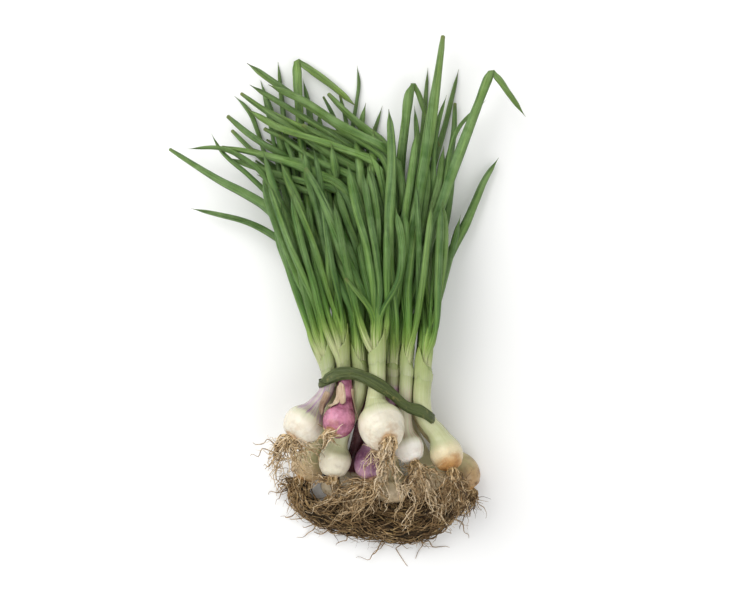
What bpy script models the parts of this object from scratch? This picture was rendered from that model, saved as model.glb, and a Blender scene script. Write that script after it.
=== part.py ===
# A tied bunch of fresh spring onions lying on its side: thirteen onions, each a bulb with its
# white shaft, its roots and its round hollow leaves, held by a flat leaf band wound twice.
#
# Metres, +Z up. The bunch lies on the plane z = 0 with its leaf tips towards +Y and its roots
# towards -Y. The origin is the middle of its footprint. Routes below are in millimetres.
import math

import bpy
import bmesh
import numpy as np
from mathutils import Matrix

MM = 0.001
ORIGIN = np.array([-0.4, 9.8, 0.0])  # the middle of the footprint in the millimetres used below
GAP = 0.35                 # air between neighbouring pieces, mm
LEAF_SIDES = 6
ROOT_SIDES = 6
BULB_SIDES = 10
RING_LENGTH = 24.0         # longest stretch of a strand between two rings, mm
RING_TURN = math.radians(26)  # most that a strand turns between two rings
FINE = 1.2                 # spacing of the points that the last clearances are measured at, mm
THIN_ROUNDS = 8
THINNEST = 0.7             # least radius a strand is thinned to, mm
KINK_CUT = 6.5             # how far from its corner a sharp fold starts, at least, mm
FOLD_RADIUS = 3.4          # how tightly a leaf's middle line is folded, at most, mm
INSIDE_ROOM = 0.9          # share of the room on the inside of a bend that a strand may fill
KINK_PINCH = 0.42          # share of a leaf's radius lost where it is folded
FAN_LEFT = 0.0042          # how far the shafts lean out past the tie, for each mm from its middle
FAN_RIGHT = 0.0020
LEAF_SPREAD = {2: 2.7, 3: 3.1, 4: 3.6}  # how far from their shaft's middle 2, 3, 4 leaves start, mm
LEAF_LEAD = 14.0           # a leaf runs on straight this far past its shaft, mm
LEAF_AIR = 1.25            # room between a shaft and its leaves, mm
ROOT_AIR = 1.05            # room between a root plate and its tuft, mm
LEAF_SWELL = 70.0          # a leaf reaches its full radius this far from its shaft, mm
SAMPLE = 4.0               # spacing of the points that settle against each other, mm
SETTLE_ROUNDS = 220
SETTLE_AIR = 0.85          # room that settling strands leave, a little over the gap, mm
SETTLE_REACH = 7.0         # how near two points must be to be watched for eight rounds, mm
SETTLE_WAY = np.array([0.45, 0.25, 1.0])  # they give way mostly up and down
SETTLE_STEP = 0.9          # share of an overlap that is pushed apart in one round
SETTLE_HOME = 0.985        # share of a sideways push that is kept from round to round
LEAF_SAG = 0.03            # how far a leaf sinks in one round, mm
BULB_GIVE = 0.35           # how readily a bulb gives way, against 1 for a leaf or a tuft
JOIN_LENGTH = 20.0         # how much of a leaf or a tuft lies close to its own shaft or bulb, mm
GROUND_LAYER = 15.0        # bulbs with their middle below this rest on the ground, mm
REST_SINK = 0.8            # how much of a resting bulb's underside is pressed flat, mm

TIE_WIDTH = 6.0            # the flat leaf band, mm
TIE_THICK = 1.3
TIE_SLACK = 1.4            # room between the shafts and the band
TIE_PITCH = 6.6            # from one turn to the next along the bunch
TIE_TURNS = 1.93
TIE_STEPS = 90             # stations along the whole band
TIE_TOP_Y = -48.0          # where the band crosses the bunch, and how it falls away
TIE_FALL = 0.0077          # towards both sides, per mm squared
TIE_MIDDLE_X = 2.0
TIE_RIGHT_X = 58.0
TIE_CENTRE = np.array([21.0, 38.5])  # x and z of the middle of the tied shafts
TIE_START = 0.72                     # where round the shafts the band begins, underneath
TIE_LEAD = 0.45                      # turns of the band above its own middle line

LEAF_GREEN = (0.09, 0.20, 0.06, 1)
SHAFT_WHITE = (0.75, 0.74, 0.62, 1)
BULB_PURPLE = (0.32, 0.06, 0.18, 1)
ROOT_TAN = (0.42, 0.29, 0.15, 1)
TIE_GREEN = (0.08, 0.15, 0.04, 1)

# One row an onion, mm: bulb centre x, y, z, bulb radius, how long the bulb is for its radius,
# shaft radius, where the shaft passes the tie (x, z), shaft length past the tie, the way its
# root plate faces, how purple its skin is, and the route of its roots from the root plate on,
# with the thickest radius of the tuft.
ONIONS = [
    dict(bulb=(-29, -82, 46), radius=14.0, long=0.92, shaft=5.2, tie=(-12, 44), past=34,
         face=(-0.6, -0.7, 0.35), purple=0.5, roots=[(-41, -103, 46), (-42, -116, 38)], tuft=5.0),
    dict(bulb=(-4, -79, 56), radius=10.8, long=1.10, shaft=5.0, tie=(-1, 46), past=36,
         face=(-0.45, -0.6, 0.6), purple=1.0, roots=[(-12, -95, 64)], tuft=3.0),
    dict(bulb=(24, -82, 51), radius=16.6, long=0.95, shaft=5.8, tie=(21, 45), past=38,
         face=(0.28, -0.55, 0.75), purple=0.0,
         roots=[(29, -107, 50), (26, -122, 40), (20, -136, 26)], tuft=5.0),
    dict(bulb=(43, -98, 45), radius=10.2, long=1.05, shaft=4.6, tie=(41, 44), past=40,
         face=(0.3, -0.85, 0.4), purple=0.2, roots=[(51, -126, 41), (47, -148, 26)], tuft=5.5),
    dict(bulb=(68, -102, 42), radius=11.2, long=1.10, shaft=6.2, tie=(51, 43), past=44,
         face=(0.25, -0.75, 0.45), purple=0.0, roots=[(75, -128, 40), (68, -146, 27)], tuft=6.0),
    dict(bulb=(-8, -108, 34), radius=11.6, long=1.00, shaft=5.0, tie=(9, 44), past=36,
         face=(-0.1, -0.95, 0.25), purple=0.1, roots=[(-18, -134, 29)], tuft=3.6),
    dict(bulb=(-27, -113, 11), radius=11.8, long=0.95, shaft=5.2, tie=(-8, 33), past=34,
         face=(-0.5, -0.85, 0.0), purple=0.0, roots=[(-39, -138, 11), (-22, -156, 8)], tuft=6.5),
    dict(bulb=(15, -111, 33), radius=10.2, long=1.05, shaft=4.8, tie=(31, 44), past=40,
         face=(0.2, -0.9, 0.3), purple=0.8, roots=[(4, -133, 29), (-12, -144, 21)], tuft=5.5),
    dict(bulb=(3, -121, 17), radius=9.4, long=1.05, shaft=4.8, tie=(15, 33), past=36,
         face=(0.0, -1.0, 0.05), purple=0.1, roots=[(7, -147, 10), (20, -158, 7)], tuft=6.0),
    dict(bulb=(-10, -127, 7), radius=7.6, long=1.15, shaft=4.6, tie=(4, 33), past=36,
         face=(-0.2, -1.0, 0.0), purple=0.0, roots=[(-9, -151, 7), (8, -164, 6)], tuft=5.0),
    dict(bulb=(34, -129, 11), radius=12.0, long=0.95, shaft=5.2, tie=(27, 33), past=38,
         face=(0.1, -1.0, 0.0), purple=0.0, roots=[(35, -155, 8), (20, -166, 6)], tuft=6.0),
    dict(bulb=(80, -119, 11), radius=12.0, long=1.05, shaft=5.4, tie=(50, 32), past=42,
         face=(0.35, -0.9, 0.0), purple=0.0, roots=[(81, -147, 11), (62, -158, 8)], tuft=6.5),
    dict(bulb=(56, -122, 12), radius=13.2, long=0.95, shaft=5.4, tie=(38, 33), past=38,
         face=(0.0, -1.0, 0.0), purple=0.0, roots=[(55, -151, 10), (42, -163, 8)], tuft=6.5),
]

# One row a leaf: its onion (counted from 1), the height of its layer at the tip, its widest
# radius, the tip's share of that radius, and its route past the shaft, mm. A route point with a
# third value of 1 is a sharp kink.
LEAVES = [
    # broad leaves on top, pointed, leaning left
    dict(onion=1, layer=36, radius=4.1, tip=0.18, route=[(-20, 8), (-33, 42), (-47, 70), (-58, 106)]),
    dict(onion=2, layer=37, radius=4.3, tip=0.18, route=[(-9, 8), (-15, 31), (-31, 64), (-46, 99)]),
    dict(onion=6, layer=38, radius=4.8, tip=0.55, route=[(8, 14), (-7, 54), (-27, 92)]),
    dict(onion=3, layer=36, radius=4.1, tip=0.18, route=[(18, 20), (11, 59), (0, 98)]),
    dict(onion=3, layer=34, radius=3.6, tip=0.18, route=[(26, 14), (26, 52), (16, 96)]),
    dict(onion=11, layer=26, radius=3.2, tip=0.20, route=[(22, 20), (18, 58), (10, 92)]),
    # the wide upright leaf in the middle
    dict(onion=8, layer=34, radius=4.6, tip=0.30, route=[(30, 20), (29, 60), (31, 101), (29, 134)]),
    # leaves that stick out on the left
    dict(onion=1, layer=22, radius=3.7, tip=0.75,
         route=[(-31, 14), (-41, 42), (-55, 66), (-94, 89), (-124, 108)]),
    dict(onion=7, layer=14, radius=3.1, tip=0.20, route=[(-28, 16), (-40, 38), (-68, 56), (-110, 67)]),
    dict(onion=2, layer=26, radius=4.0, tip=0.70,
         route=[(-3, 20), (3, 58), (-2, 80, 1), (-30, 94), (-60, 104), (-87, 109)]),
    # leaves folded over to the left, lying side by side
    dict(onion=8, layer=24, radius=4.0, tip=0.35,
         route=[(33, 20), (32, 70), (26, 102, 1), (-6, 124), (-42, 148), (-70, 168)]),
    dict(onion=9, layer=20, radius=3.8, tip=0.35,
         route=[(20, 30), (29, 66), (28, 93, 1), (1, 111), (-33, 132), (-68, 153)]),
    dict(onion=6, layer=18, radius=3.8, tip=0.75,
         route=[(13, 20), (22, 56), (24, 85, 1), (-16, 107), (-50, 130), (-74, 147)]),
    dict(onion=10, layer=14, radius=4.2, tip=0.80,
         route=[(4, 20), (8, 52), (4, 78, 1), (-30, 95), (-62, 113), (-84, 131)]),
    dict(onion=10, layer=10, radius=3.9, tip=0.80,
         route=[(-4, 18), (-4, 50), (-8, 72, 1), (-38, 88), (-63, 105), (-81, 122)]),
    dict(onion=11, layer=22, radius=4.3, tip=0.80,
         route=[(30, 20), (34, 70), (27, 111, 1), (4, 130), (-13, 147)]),
    # the tall one with a sharp fold at the top left, and thin upright tips behind
    dict(onion=7, layer=9, radius=4.2, tip=0.45,
         route=[(-18, 20), (-29, 80), (-34, 140), (-36, 171, 1), (-14, 156), (6, 139)]),
    dict(onion=7, layer=6, radius=3.1, tip=0.15, route=[(-24, 30), (-41, 100), (-49, 171)]),
    dict(onion=1, layer=8, radius=3.3, tip=0.15, route=[(-28, 26), (-44, 80), (-61, 158)]),
    dict(onion=9, layer=5, radius=3.2, tip=0.15, route=[(12, 40), (3, 110), (8, 152), (7, 169)]),
    dict(onion=11, layer=8, radius=3.1, tip=0.15, route=[(24, 40), (14, 96), (25, 140)]),
    # the right-hand half
    dict(onion=4, layer=22, radius=4.5, tip=0.80, route=[(42, 10), (47, 62), (57, 118), (67, 187)]),
    dict(onion=13, layer=16, radius=4.6, tip=0.50,
         route=[(36, 20), (36, 84), (41, 129), (46, 163, 1), (55, 133), (65, 111)]),
    dict(onion=4, layer=32, radius=4.4, tip=0.20,
         route=[(46, 8), (63, 62), (80, 110), (100, 162, 1), (114, 144), (124, 130)]),
    dict(onion=12, layer=10, radius=4.1, tip=0.20,
         route=[(60, -4), (67, 24), (83, 56), (96, 86, 1), (107, 103)]),
    dict(onion=12, layer=5, radius=3.7, tip=0.20, route=[(60, 20), (70, 60), (76, 98)]),
    dict(onion=13, layer=5, radius=3.7, tip=0.15, route=[(46, 30), (58, 90), (68, 122), (79, 166)]),
    dict(onion=5, layer=12, radius=3.8, tip=0.75, route=[(56, 20), (64, 74), (74, 112), (76, 141)]),
    dict(onion=5, layer=22, radius=4.4, tip=0.20, route=[(56, -4), (60, 18), (63, 44)]),
    dict(onion=4, layer=26, radius=3.4, tip=0.20, route=[(40, 10), (49, 60), (61, 104)]),
    dict(onion=3, layer=26, radius=3.6, tip=0.15, route=[(32, 10), (38, 50), (51, 96)]),
    dict(onion=13, layer=4, radius=3.1, tip=0.15, route=[(42, 40), (52, 110), (57, 167)]),
    dict(onion=7, layer=5, radius=3.6, tip=0.20, route=[(-33, 22), (-47, 66), (-66, 129), (-80, 147)]),
]


def clear_scene():
    for thing in list(bpy.data.objects):
        bpy.data.objects.remove(thing, do_unlink=True)
    for mesh in list(bpy.data.meshes):
        bpy.data.meshes.remove(mesh)


def make_material(name, colour, roughness):
    material = bpy.data.materials.new(name)
    material.use_nodes = True
    shader = material.node_tree.nodes["Principled BSDF"]
    shader.inputs["Base Color"].default_value = colour
    shader.inputs["Roughness"].default_value = roughness
    shader.inputs["Metallic"].default_value = 0.0
    return material


# Paths

def unit(vector):
    return vector / np.linalg.norm(vector)


def smooth_step(value):
    value = np.clip(value, 0.0, 1.0)
    return value * value * (3 - 2 * value)


def arc_lengths(path):
    return np.concatenate([[0.0], np.cumsum(np.linalg.norm(np.diff(path, axis=0), axis=1))])


def resampled(path, spacing):
    """The same path with points at an even spacing of about this much."""
    along = arc_lengths(path)
    count = max(2, int(round(along[-1] / spacing)) + 1)
    wanted = np.linspace(0.0, along[-1], count)
    return np.stack([np.interp(wanted, along, path[:, k]) for k in range(path.shape[1])], axis=1)


def smooth_curve(points, per_span=10):
    """A Catmull-Rom curve through the points."""
    points = np.asarray(points, float)
    ends = np.vstack([2 * points[0] - points[1], points, 2 * points[-1] - points[-2]])
    u = np.linspace(0.0, 1.0, per_span, endpoint=False)[:, None]
    spans = []
    for a, b, c, d in zip(ends, ends[1:], ends[2:], ends[3:]):
        spans.append(0.5 * (2 * b + (c - a) * u + (2 * a - 5 * b + 4 * c - d) * u ** 2
                            + (3 * b - a - 3 * c + d) * u ** 3))
    return np.vstack(spans + [points[-1:]])


def kinked_curve(points, kinks, step=0.5):
    """Smooth stretches that meet in tight round folds at the kinks."""
    stops = [0] + kinks + [len(points) - 1]
    whole = None
    for first, last in zip(stops, stops[1:]):
        stretch = resampled(smooth_curve(points[first:last + 1]), step)
        if whole is None:
            whole = stretch
            continue
        arriving = unit(whole[-1] - whole[-10])
        leaving = unit(stretch[9] - stretch[0])
        turn = math.acos(np.clip(arriving @ leaving, -1.0, 1.0))
        cut = max(KINK_CUT, FOLD_RADIUS * math.tan(turn / 2))
        reach = 4 / 3 * math.tan(turn / 4) * cut / math.tan(turn / 2)
        trim = int(cut / step)
        start, end = whole[-trim], stretch[trim]
        u = np.linspace(0.0, 1.0, 30)[:, None]
        fold = ((1 - u) ** 3 * start + 3 * u * (1 - u) ** 2 * (start + arriving * reach)
                + 3 * u ** 2 * (1 - u) * (end - leaving * reach) + u ** 3 * end)
        whole = np.vstack([whole[:-trim], fold, stretch[trim + 1:]])
    return whole


def ring_stations(path):
    """Where along a path its rings go: further apart on the straight, closer where it turns."""
    steps = np.diff(path, axis=0)
    lengths = np.linalg.norm(steps, axis=1)
    ways = steps / lengths[:, None]
    turns = np.arccos(np.clip((ways[1:] * ways[:-1]).sum(axis=1), -1.0, 1.0))
    effort = lengths / RING_LENGTH
    effort[1:] += 0.5 * turns / RING_TURN
    effort[:-1] += 0.5 * turns / RING_TURN
    total = np.concatenate([[0.0], np.cumsum(effort)])
    count = int(math.ceil(total[-1])) + 1
    return np.interp(np.linspace(0.0, total[-1], count), total, arc_lengths(path))


# Strands: a path with a radius along it

class Strand:
    """A bulb with its shaft, a tuft of roots or a leaf, as points with radii."""

    def __init__(self, name, kind, path, profile, onion):
        self.name = name
        self.kind = kind
        self.onion = onion
        self.profile = profile
        self.points = resampled(path, SAMPLE)


def half_length(onion):
    """From the middle of a bulb to its root plate."""
    return onion["radius"] * onion["long"]


def bulb_profile(onion):
    """Radius of a bulb and its shaft by the distance from the root plate."""
    radius, shaft = onion["radius"], onion["shaft"]
    at = np.array([0.0, 0.14, 0.42, 0.72, 1.0, 1.3, 1.62, 1.95, 2.35, 2.9]) * half_length(onion)
    round_part = np.array([0.30, 0.55, 0.84, 0.97, 1.0, 0.95, 0.80]) * radius
    neck_part = shaft + np.array([0.22, 0.06, 0.0]) * (radius - shaft)
    wide = np.concatenate([round_part, neck_part])

    def profile(along, length):
        return np.interp(along, at, wide)
    return profile


def leaf_profile(leaf):
    """Narrow where it leaves the shaft, widest in the middle, tapering to its tip."""
    def profile(along, length):
        t = along / length
        base = 0.60 + 0.40 * smooth_step(along / LEAF_SWELL)
        fall = np.clip((t - 0.45) / 0.55, 0.0, 1.0) ** (2.2 if leaf["tip"] < 0.5 else 3.0)
        return leaf["radius"] * base * (1 - (1 - leaf["tip"]) * fall)
    return profile


def root_profile(tuft):
    """A tuft that swells out of the root plate and thins to its end."""
    def profile(along, length):
        t = along / length
        return tuft * np.interp(t, [0.0, 0.35, 0.65, 1.0], [0.38, 0.95, 0.95, 0.35])
    return profile


def tie_y(x):
    return TIE_TOP_Y - TIE_FALL * (np.minimum(x, TIE_RIGHT_X) - TIE_MIDDLE_X) ** 2


def onion_strand(number, onion):
    """The line from the root plate through the bulb and the tie to the end of the shaft."""
    bulb = np.array(onion["bulb"], float)
    tie = np.array([onion["tie"][0], tie_y(onion["tie"][0]), onion["tie"][1]])
    reach = np.linalg.norm(bulb - tie)
    tie[1] -= np.clip(0.25 * (reach - 20.0), 2.0, 12.0)
    lean = unit(bulb - tie)
    face = unit(np.array(onion["face"], float))
    plate = bulb + face * half_length(onion)
    spread = (tie[0] - TIE_CENTRE[0]) * (FAN_LEFT if tie[0] < TIE_CENTRE[0] else FAN_RIGHT)
    top = tie + unit(np.array([spread, 1.0, 0.0])) * onion["past"]
    above = bulb - unit(lean + 0.7 * face) * onion["radius"] * 1.2
    curve = smooth_curve([plate, bulb, above, tie, top])
    return Strand(f"onion_{number:02d}_bulb", "bulb", curve, bulb_profile(onion), number)


def root_strand(number, onion, plate, outward):
    """The tuft leaves the plate straight on and then follows its own route."""
    start = plate + outward * ROOT_AIR
    onward = unit(np.array(onion["roots"][0], float) - start)
    route = [start, start + unit(outward + onward) * 6.0]
    route += [np.array(p, float) for p in onion["roots"]]
    return Strand(f"onion_{number:02d}_roots", "roots", smooth_curve(route), root_profile(onion["tuft"]),
                  number)


def leaf_strand(number, leaf, order, brothers, shaft_end, forward):
    """One leaf from its place in the end of the shaft to its tip."""
    turn = 2 * math.pi * order / brothers + (0.0 if brothers == 2 else math.pi / 2)
    side = unit(np.cross(forward, [0.0, 0.0, 1.0]))
    rise = np.cross(side, forward)
    offset = (side * math.cos(turn) + rise * math.sin(turn)) * LEAF_SPREAD[brothers]
    start = shaft_end + forward * LEAF_AIR + offset
    route = [start, start + forward * LEAF_LEAD]
    kinks = [i + 2 for i, point in enumerate(leaf["route"]) if len(point) == 3]
    flat = np.array([point[:2] for point in leaf["route"]], float)
    gone = arc_lengths(np.vstack([start[:2], flat]))
    for point, far in zip(flat, gone[1:] / gone[-1]):
        height = start[2] + (leaf["layer"] - start[2]) * far ** 0.8
        route.append(np.array([point[0], point[1], height]))
    curve = kinked_curve(route, kinks)
    return Strand(f"onion_{leaf['onion']:02d}_leaf_{order + 1}", "leaf", curve, leaf_profile(leaf),
                  leaf["onion"])


# Settling: strands give way to each other until none of them meet

def neighbours(points, radii, owner, reach):
    """Pairs of points of different strands that are near each other."""
    firsts, seconds = [], []
    for start in range(0, len(points), 600):
        block = slice(start, start + 600)
        apart = np.linalg.norm(points[block, None, :] - points[None, :, :], axis=2)
        near = apart < radii[block, None] + radii[None, :] + reach
        near &= owner[block, None] != owner[None, :]
        i, j = np.nonzero(near)
        i = i + start
        keep = i < j
        firsts.append(i[keep])
        seconds.append(j[keep])
    return np.concatenate(firsts), np.concatenate(seconds)


def radii_along(strand, points):
    along = arc_lengths(points)
    return strand.profile(along, along[-1])


def joined_pairs(i, j, onion, kind, near_start):
    """Pairs where a leaf or a tuft starts on its own onion, which are meant to be close."""
    joined = (onion[i] == onion[j]) & ((kind[i] == 0) != (kind[j] == 0))
    return joined & np.where(kind[i] == 0, near_start[j], near_start[i])


def kind_codes(strands):
    """0 for a bulb with its shaft, 1 for a leaf, 2 for a tuft of roots."""
    return np.array([["bulb", "leaf", "roots"].index(s.kind) for s in strands])


def settle(strands):
    """Pushes strands apart, mostly up and down, and keeps what each gives way smooth along it."""
    starts = np.cumsum([0] + [len(s.points) for s in strands])
    points = np.vstack([s.points for s in strands])
    home = points.copy()
    radii = np.concatenate([radii_along(s, s.points) for s in strands])
    owner = np.repeat(np.arange(len(strands)), np.diff(starts))
    onion = np.repeat([s.onion for s in strands], np.diff(starts))
    kind = np.repeat(kind_codes(strands), np.diff(starts))
    give = np.where(kind == 0, BULB_GIVE, 1.0)
    shafts = {s.onion: k for k, s in enumerate(strands) if s.kind == "bulb"}
    near_start = np.concatenate([arc_lengths(s.points) < JOIN_LENGTH for s in strands])
    for turn in range(SETTLE_ROUNDS):
        if turn % 8 == 0:
            i, j = neighbours(points, radii, owner, SETTLE_REACH)
            joined = joined_pairs(i, j, onion, kind, near_start)
            i, j = i[~joined], j[~joined]
        between = points[i] - points[j]
        apart = np.linalg.norm(between, axis=1) + 1e-6
        short = radii[i] + radii[j] + SETTLE_AIR - apart
        way = between / apart[:, None] * SETTLE_WAY
        way /= np.linalg.norm(way, axis=1)[:, None] + 1e-9
        share = give[i] / (give[i] + give[j])
        push = np.zeros_like(points)
        count = np.zeros(len(points))
        hit = short > 0
        for index, part, sign in ((i, share, 1.0), (j, 1.0 - share, -1.0)):
            np.add.at(push, index[hit], (way * (sign * part * short)[:, None])[hit])
            np.add.at(count, index[hit], 1.0)
        points += SETTLE_STEP * push / np.maximum(count, 1.0)[:, None] ** 0.6
        given = points - home
        given[:, :2] *= SETTLE_HOME
        given[:, 2] -= np.where(kind == 1, LEAF_SAG, 0.0)
        for k, strand in enumerate(strands):
            part = slice(starts[k], starts[k + 1])
            moved = given[part]
            for _ in range(3 if strand.kind == "leaf" else 2):
                ends = np.vstack([moved[:1], moved, moved[-1:]])
                moved = 0.5 * moved + 0.25 * (ends[:-2] + ends[2:])
            if strand.kind != "bulb":
                shaft = shafts[strand.onion]
                held = starts[shaft + 1] - 1 if strand.kind == "leaf" else starts[shaft]
                hold = np.clip(1.0 - np.arange(len(moved)) / 3.0, 0.0, 1.0)[:, None]
                moved = moved * (1 - hold) + given[held] * hold
            given[part] = moved
        points = home + given
        points[:, 2] = np.maximum(points[:, 2], radii - 0.2)
    for k, strand in enumerate(strands):
        strand.points = points[starts[k]:starts[k + 1]]
        if strand.kind == "bulb" and ONIONS[strand.onion - 1]["bulb"][2] < GROUND_LAYER:
            rest_on_ground(strand)


def rest_on_ground(strand):
    """Lets a bottom bulb down until it is pressed a little into the ground; its shaft bends."""
    radii = radii_along(strand, strand.points)
    lowest = (strand.points[:, 2] - radii * math.cos(math.pi / BULB_SIDES)).min()
    bulb = half_length(ONIONS[strand.onion - 1])
    weight = smooth_step((4.5 * bulb - arc_lengths(strand.points)) / (2.5 * bulb))
    strand.points[:, 2] -= (lowest + REST_SINK / 2) * weight


def lay_rings(strand):
    """Ring centres and radii for the solid."""
    fine = resampled(smooth_curve(strand.points, 4), 1.0)
    along = arc_lengths(fine)
    at = ring_stations(fine)
    if strand.kind == "bulb":
        bulb = half_length(ONIONS[strand.onion - 1])
        round_part = np.array([0.0, 0.14, 0.42, 0.78, 1.18, 1.5, 1.85, 2.3, 2.9]) * bulb
        at = np.concatenate([round_part, at[at > round_part[-1] + 6.0]])
    strand.centres = np.stack([np.interp(at, along, fine[:, k]) for k in range(3)], axis=1)
    strand.widths = strand.profile(at, along[-1])
    if strand.kind == "leaf":
        strand.widths *= 1 - KINK_PINCH * kink_tightness(fine, along, at)
    strand.widths = np.minimum(strand.widths, INSIDE_ROOM * bend_room(strand.centres))
    if strand.kind != "bulb":
        strand.centres[:, 2] = np.maximum(strand.centres[:, 2], strand.widths + GAP / 2)


def ring_ways(centres):
    """The way each ring faces."""
    steps = np.diff(centres, axis=0)
    steps /= np.linalg.norm(steps, axis=1)[:, None]
    ways = np.vstack([steps[:1], steps[1:] + steps[:-1], steps[-1:]])
    return ways / np.linalg.norm(ways, axis=1)[:, None]


def bend_room(centres):
    """How far from its centre each ring's plane meets the next one, on the inside of a bend."""
    ways = ring_ways(centres)
    gaps = np.linalg.norm(np.diff(centres, axis=0), axis=1)
    turns = np.arccos(np.clip((ways[1:] * ways[:-1]).sum(axis=1), -1.0, 1.0))
    room = gaps / (2 * np.tan(turns / 2) + 1e-6)
    return np.minimum(np.append(room, np.inf), np.append(np.inf, room))


def kink_tightness(fine, along, at):
    """1 where a leaf is folded, 0 where it runs straight."""
    step = 5
    ways = fine[step:] - fine[:-step]
    ways /= np.linalg.norm(ways, axis=1)[:, None]
    turn = np.arccos(np.clip((ways[step:] * ways[:-step]).sum(axis=1), -1.0, 1.0))
    middle = along[step:-step]
    return np.clip(np.interp(at, middle, turn) / 0.9 - 0.25, 0.0, 1.0)


def dense(strand):
    """Points and radii close together along the straight segments between a strand's rings."""
    along = arc_lengths(strand.centres)
    at = np.linspace(0.0, along[-1], int(along[-1] / FINE) + 2)
    points = np.stack([np.interp(at, along, strand.centres[:, k]) for k in range(3)], axis=1)
    return points, np.interp(at, along, strand.widths), at, along


def thin_where_tight(strands):
    """Takes a little off the radius wherever two strands would still come closer than the gap."""
    samples = [dense(s) for s in strands]
    counts = [len(s[0]) for s in samples]
    points = np.vstack([s[0] for s in samples])
    radii = np.concatenate([s[1] for s in samples])
    owner = np.repeat(np.arange(len(strands)), counts)
    onion = np.repeat([s.onion for s in strands], counts)
    kind = np.repeat(kind_codes(strands), counts)
    give = np.where(kind == 0, BULB_GIVE, 1.0)
    near_start = np.concatenate([s[2] < JOIN_LENGTH for s in samples])

    i, j = neighbours(points, radii, owner, GAP)
    joined = joined_pairs(i, j, onion, kind, near_start)
    i, j = i[~joined], j[~joined]
    short = radii[i] + radii[j] + GAP - np.linalg.norm(points[i] - points[j], axis=1)
    share = give[i] / (give[i] + give[j])
    need = np.zeros(len(points))
    np.maximum.at(need, i, short * share)
    np.maximum.at(need, j, short * (1 - share))

    starts = np.cumsum([0] + counts)
    for k, strand in enumerate(strands):
        part, at, along = need[starts[k]:starts[k + 1]], samples[k][2], samples[k][3]
        before = np.concatenate([along[:1], along[:-1]]) - FINE
        after = np.concatenate([along[1:], along[-1:]]) + FINE
        for ring in range(len(along)):
            tight = part[(at >= before[ring]) & (at <= after[ring])].max()
            if tight > 0:
                strand.widths[ring] = max(THINNEST, strand.widths[ring] - tight)
    return need.max()


# Solids

def add_object(name, rings, sides, material, pressed_flat=False):
    """Lofts one closed solid through rings, each a centre with its two half-axes."""
    mesh = bpy.data.meshes.new(name)
    shape = bmesh.new()
    loops = []
    for k, (centre, across, up) in enumerate(rings):
        matrix = Matrix.Identity(4)
        matrix.col[0][:3] = across * MM
        matrix.col[1][:3] = up * MM
        matrix.col[3][:3] = (centre - ORIGIN) * MM
        made = bmesh.ops.create_circle(shape, cap_ends=k in (0, len(rings) - 1), radius=1.0,
                                       segments=sides, matrix=matrix)
        loops.append({edge for corner in made["verts"] for edge in corner.link_edges})
    for lower, upper in zip(loops, loops[1:]):
        bmesh.ops.bridge_loops(shape, edges=list(lower | upper))
    if pressed_flat:
        for corner in shape.verts:
            if corner.co.z < REST_SINK * MM:
                corner.co.z = 0.0
    bmesh.ops.recalc_face_normals(shape, faces=shape.faces)
    shape.to_mesh(mesh)
    shape.free()
    mesh.materials.append(material)
    mesh.shade_smooth()
    solid = bpy.data.objects.new(name, mesh)
    bpy.context.scene.collection.objects.link(solid)


def round_rings(strand, sides):
    """Rings square to the strand, turned so that a flat side is underneath."""
    ways = ring_ways(strand.centres)
    roll = math.pi / sides
    rings = []
    for centre, radius, way in zip(strand.centres, strand.widths, ways):
        side = unit(np.cross(way, [0.0, 0.0, 1.0]))
        rise = unit(np.cross(side, way))
        rings.append((centre, radius * (side * math.cos(roll) + rise * math.sin(roll)),
                      radius * (rise * math.cos(roll) - side * math.sin(roll))))
    return rings


def convex_outline(points):
    """The convex hull of plane points, anticlockwise."""
    points = sorted(map(tuple, points))

    def half(run):
        chain = []
        for p in run:
            while len(chain) > 1 and ((chain[-1][0] - chain[-2][0]) * (p[1] - chain[-2][1])
                                      - (chain[-1][1] - chain[-2][1]) * (p[0] - chain[-2][0])) <= 0:
                chain.pop()
            chain.append(p)
        return chain[:-1]
    return np.array(half(points) + half(points[::-1]))


def shaft_outline(shafts, fall, turns):
    """How far from the middle of the shafts their outline lies, at each turn, at one level."""
    angles = np.linspace(0.0, 2 * math.pi, 24, endpoint=False)
    circles = []
    for spots, radii in shafts:
        level = np.abs(spots[:, 1] - tie_y(spots[:, 0]) - fall)
        slant = 2 * TIE_FALL * np.abs(spots[:, 0] - TIE_MIDDLE_X)
        for k in np.nonzero(level < TIE_WIDTH / 2 + 2.0 + radii * slant)[0]:
            reach = radii[k] + TIE_SLACK + TIE_THICK / 2
            circles.append(np.stack([spots[k, 0] + reach * np.cos(angles),
                                     spots[k, 2] + reach * np.sin(angles)], axis=1))
    outline = convex_outline(np.vstack(circles)) - TIE_CENTRE
    closed = resampled(np.vstack([outline, outline[:1]]), 0.5)
    bearing = np.arctan2(closed[:, 1], closed[:, 0]) % (2 * math.pi)
    order = np.argsort(bearing)
    return np.interp(turns % (2 * math.pi), bearing[order], np.linalg.norm(closed, axis=1)[order],
                     period=2 * math.pi)


def tie_route(strands):
    """The band's middle line, hugging the shafts through both of its turns."""
    shafts = [dense(s)[:2] for s in strands if s.kind == "bulb"]
    at = np.linspace(0.0, TIE_TURNS, TIE_STEPS + 1)
    bearing = np.linspace(0.0, 2 * math.pi, 361)
    reach = shaft_outline(shafts, 0.0, bearing)
    trip = arc_lengths(np.stack([reach * np.cos(bearing), reach * np.sin(bearing)], axis=1))
    turns = np.interp((at + TIE_START) % 1.0 * trip[-1], trip, bearing)
    falls = TIE_PITCH * (TIE_LEAD - at)
    reach = np.zeros(len(at))
    for k, fall in enumerate(falls):
        reach[k] = shaft_outline(shafts, fall, turns[k:k + 1])[0]
    x = TIE_CENTRE[0] + reach * np.cos(turns)
    z = TIE_CENTRE[1] + reach * np.sin(turns)
    return np.stack([x, tie_y(x) + falls, z], axis=1)


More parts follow.
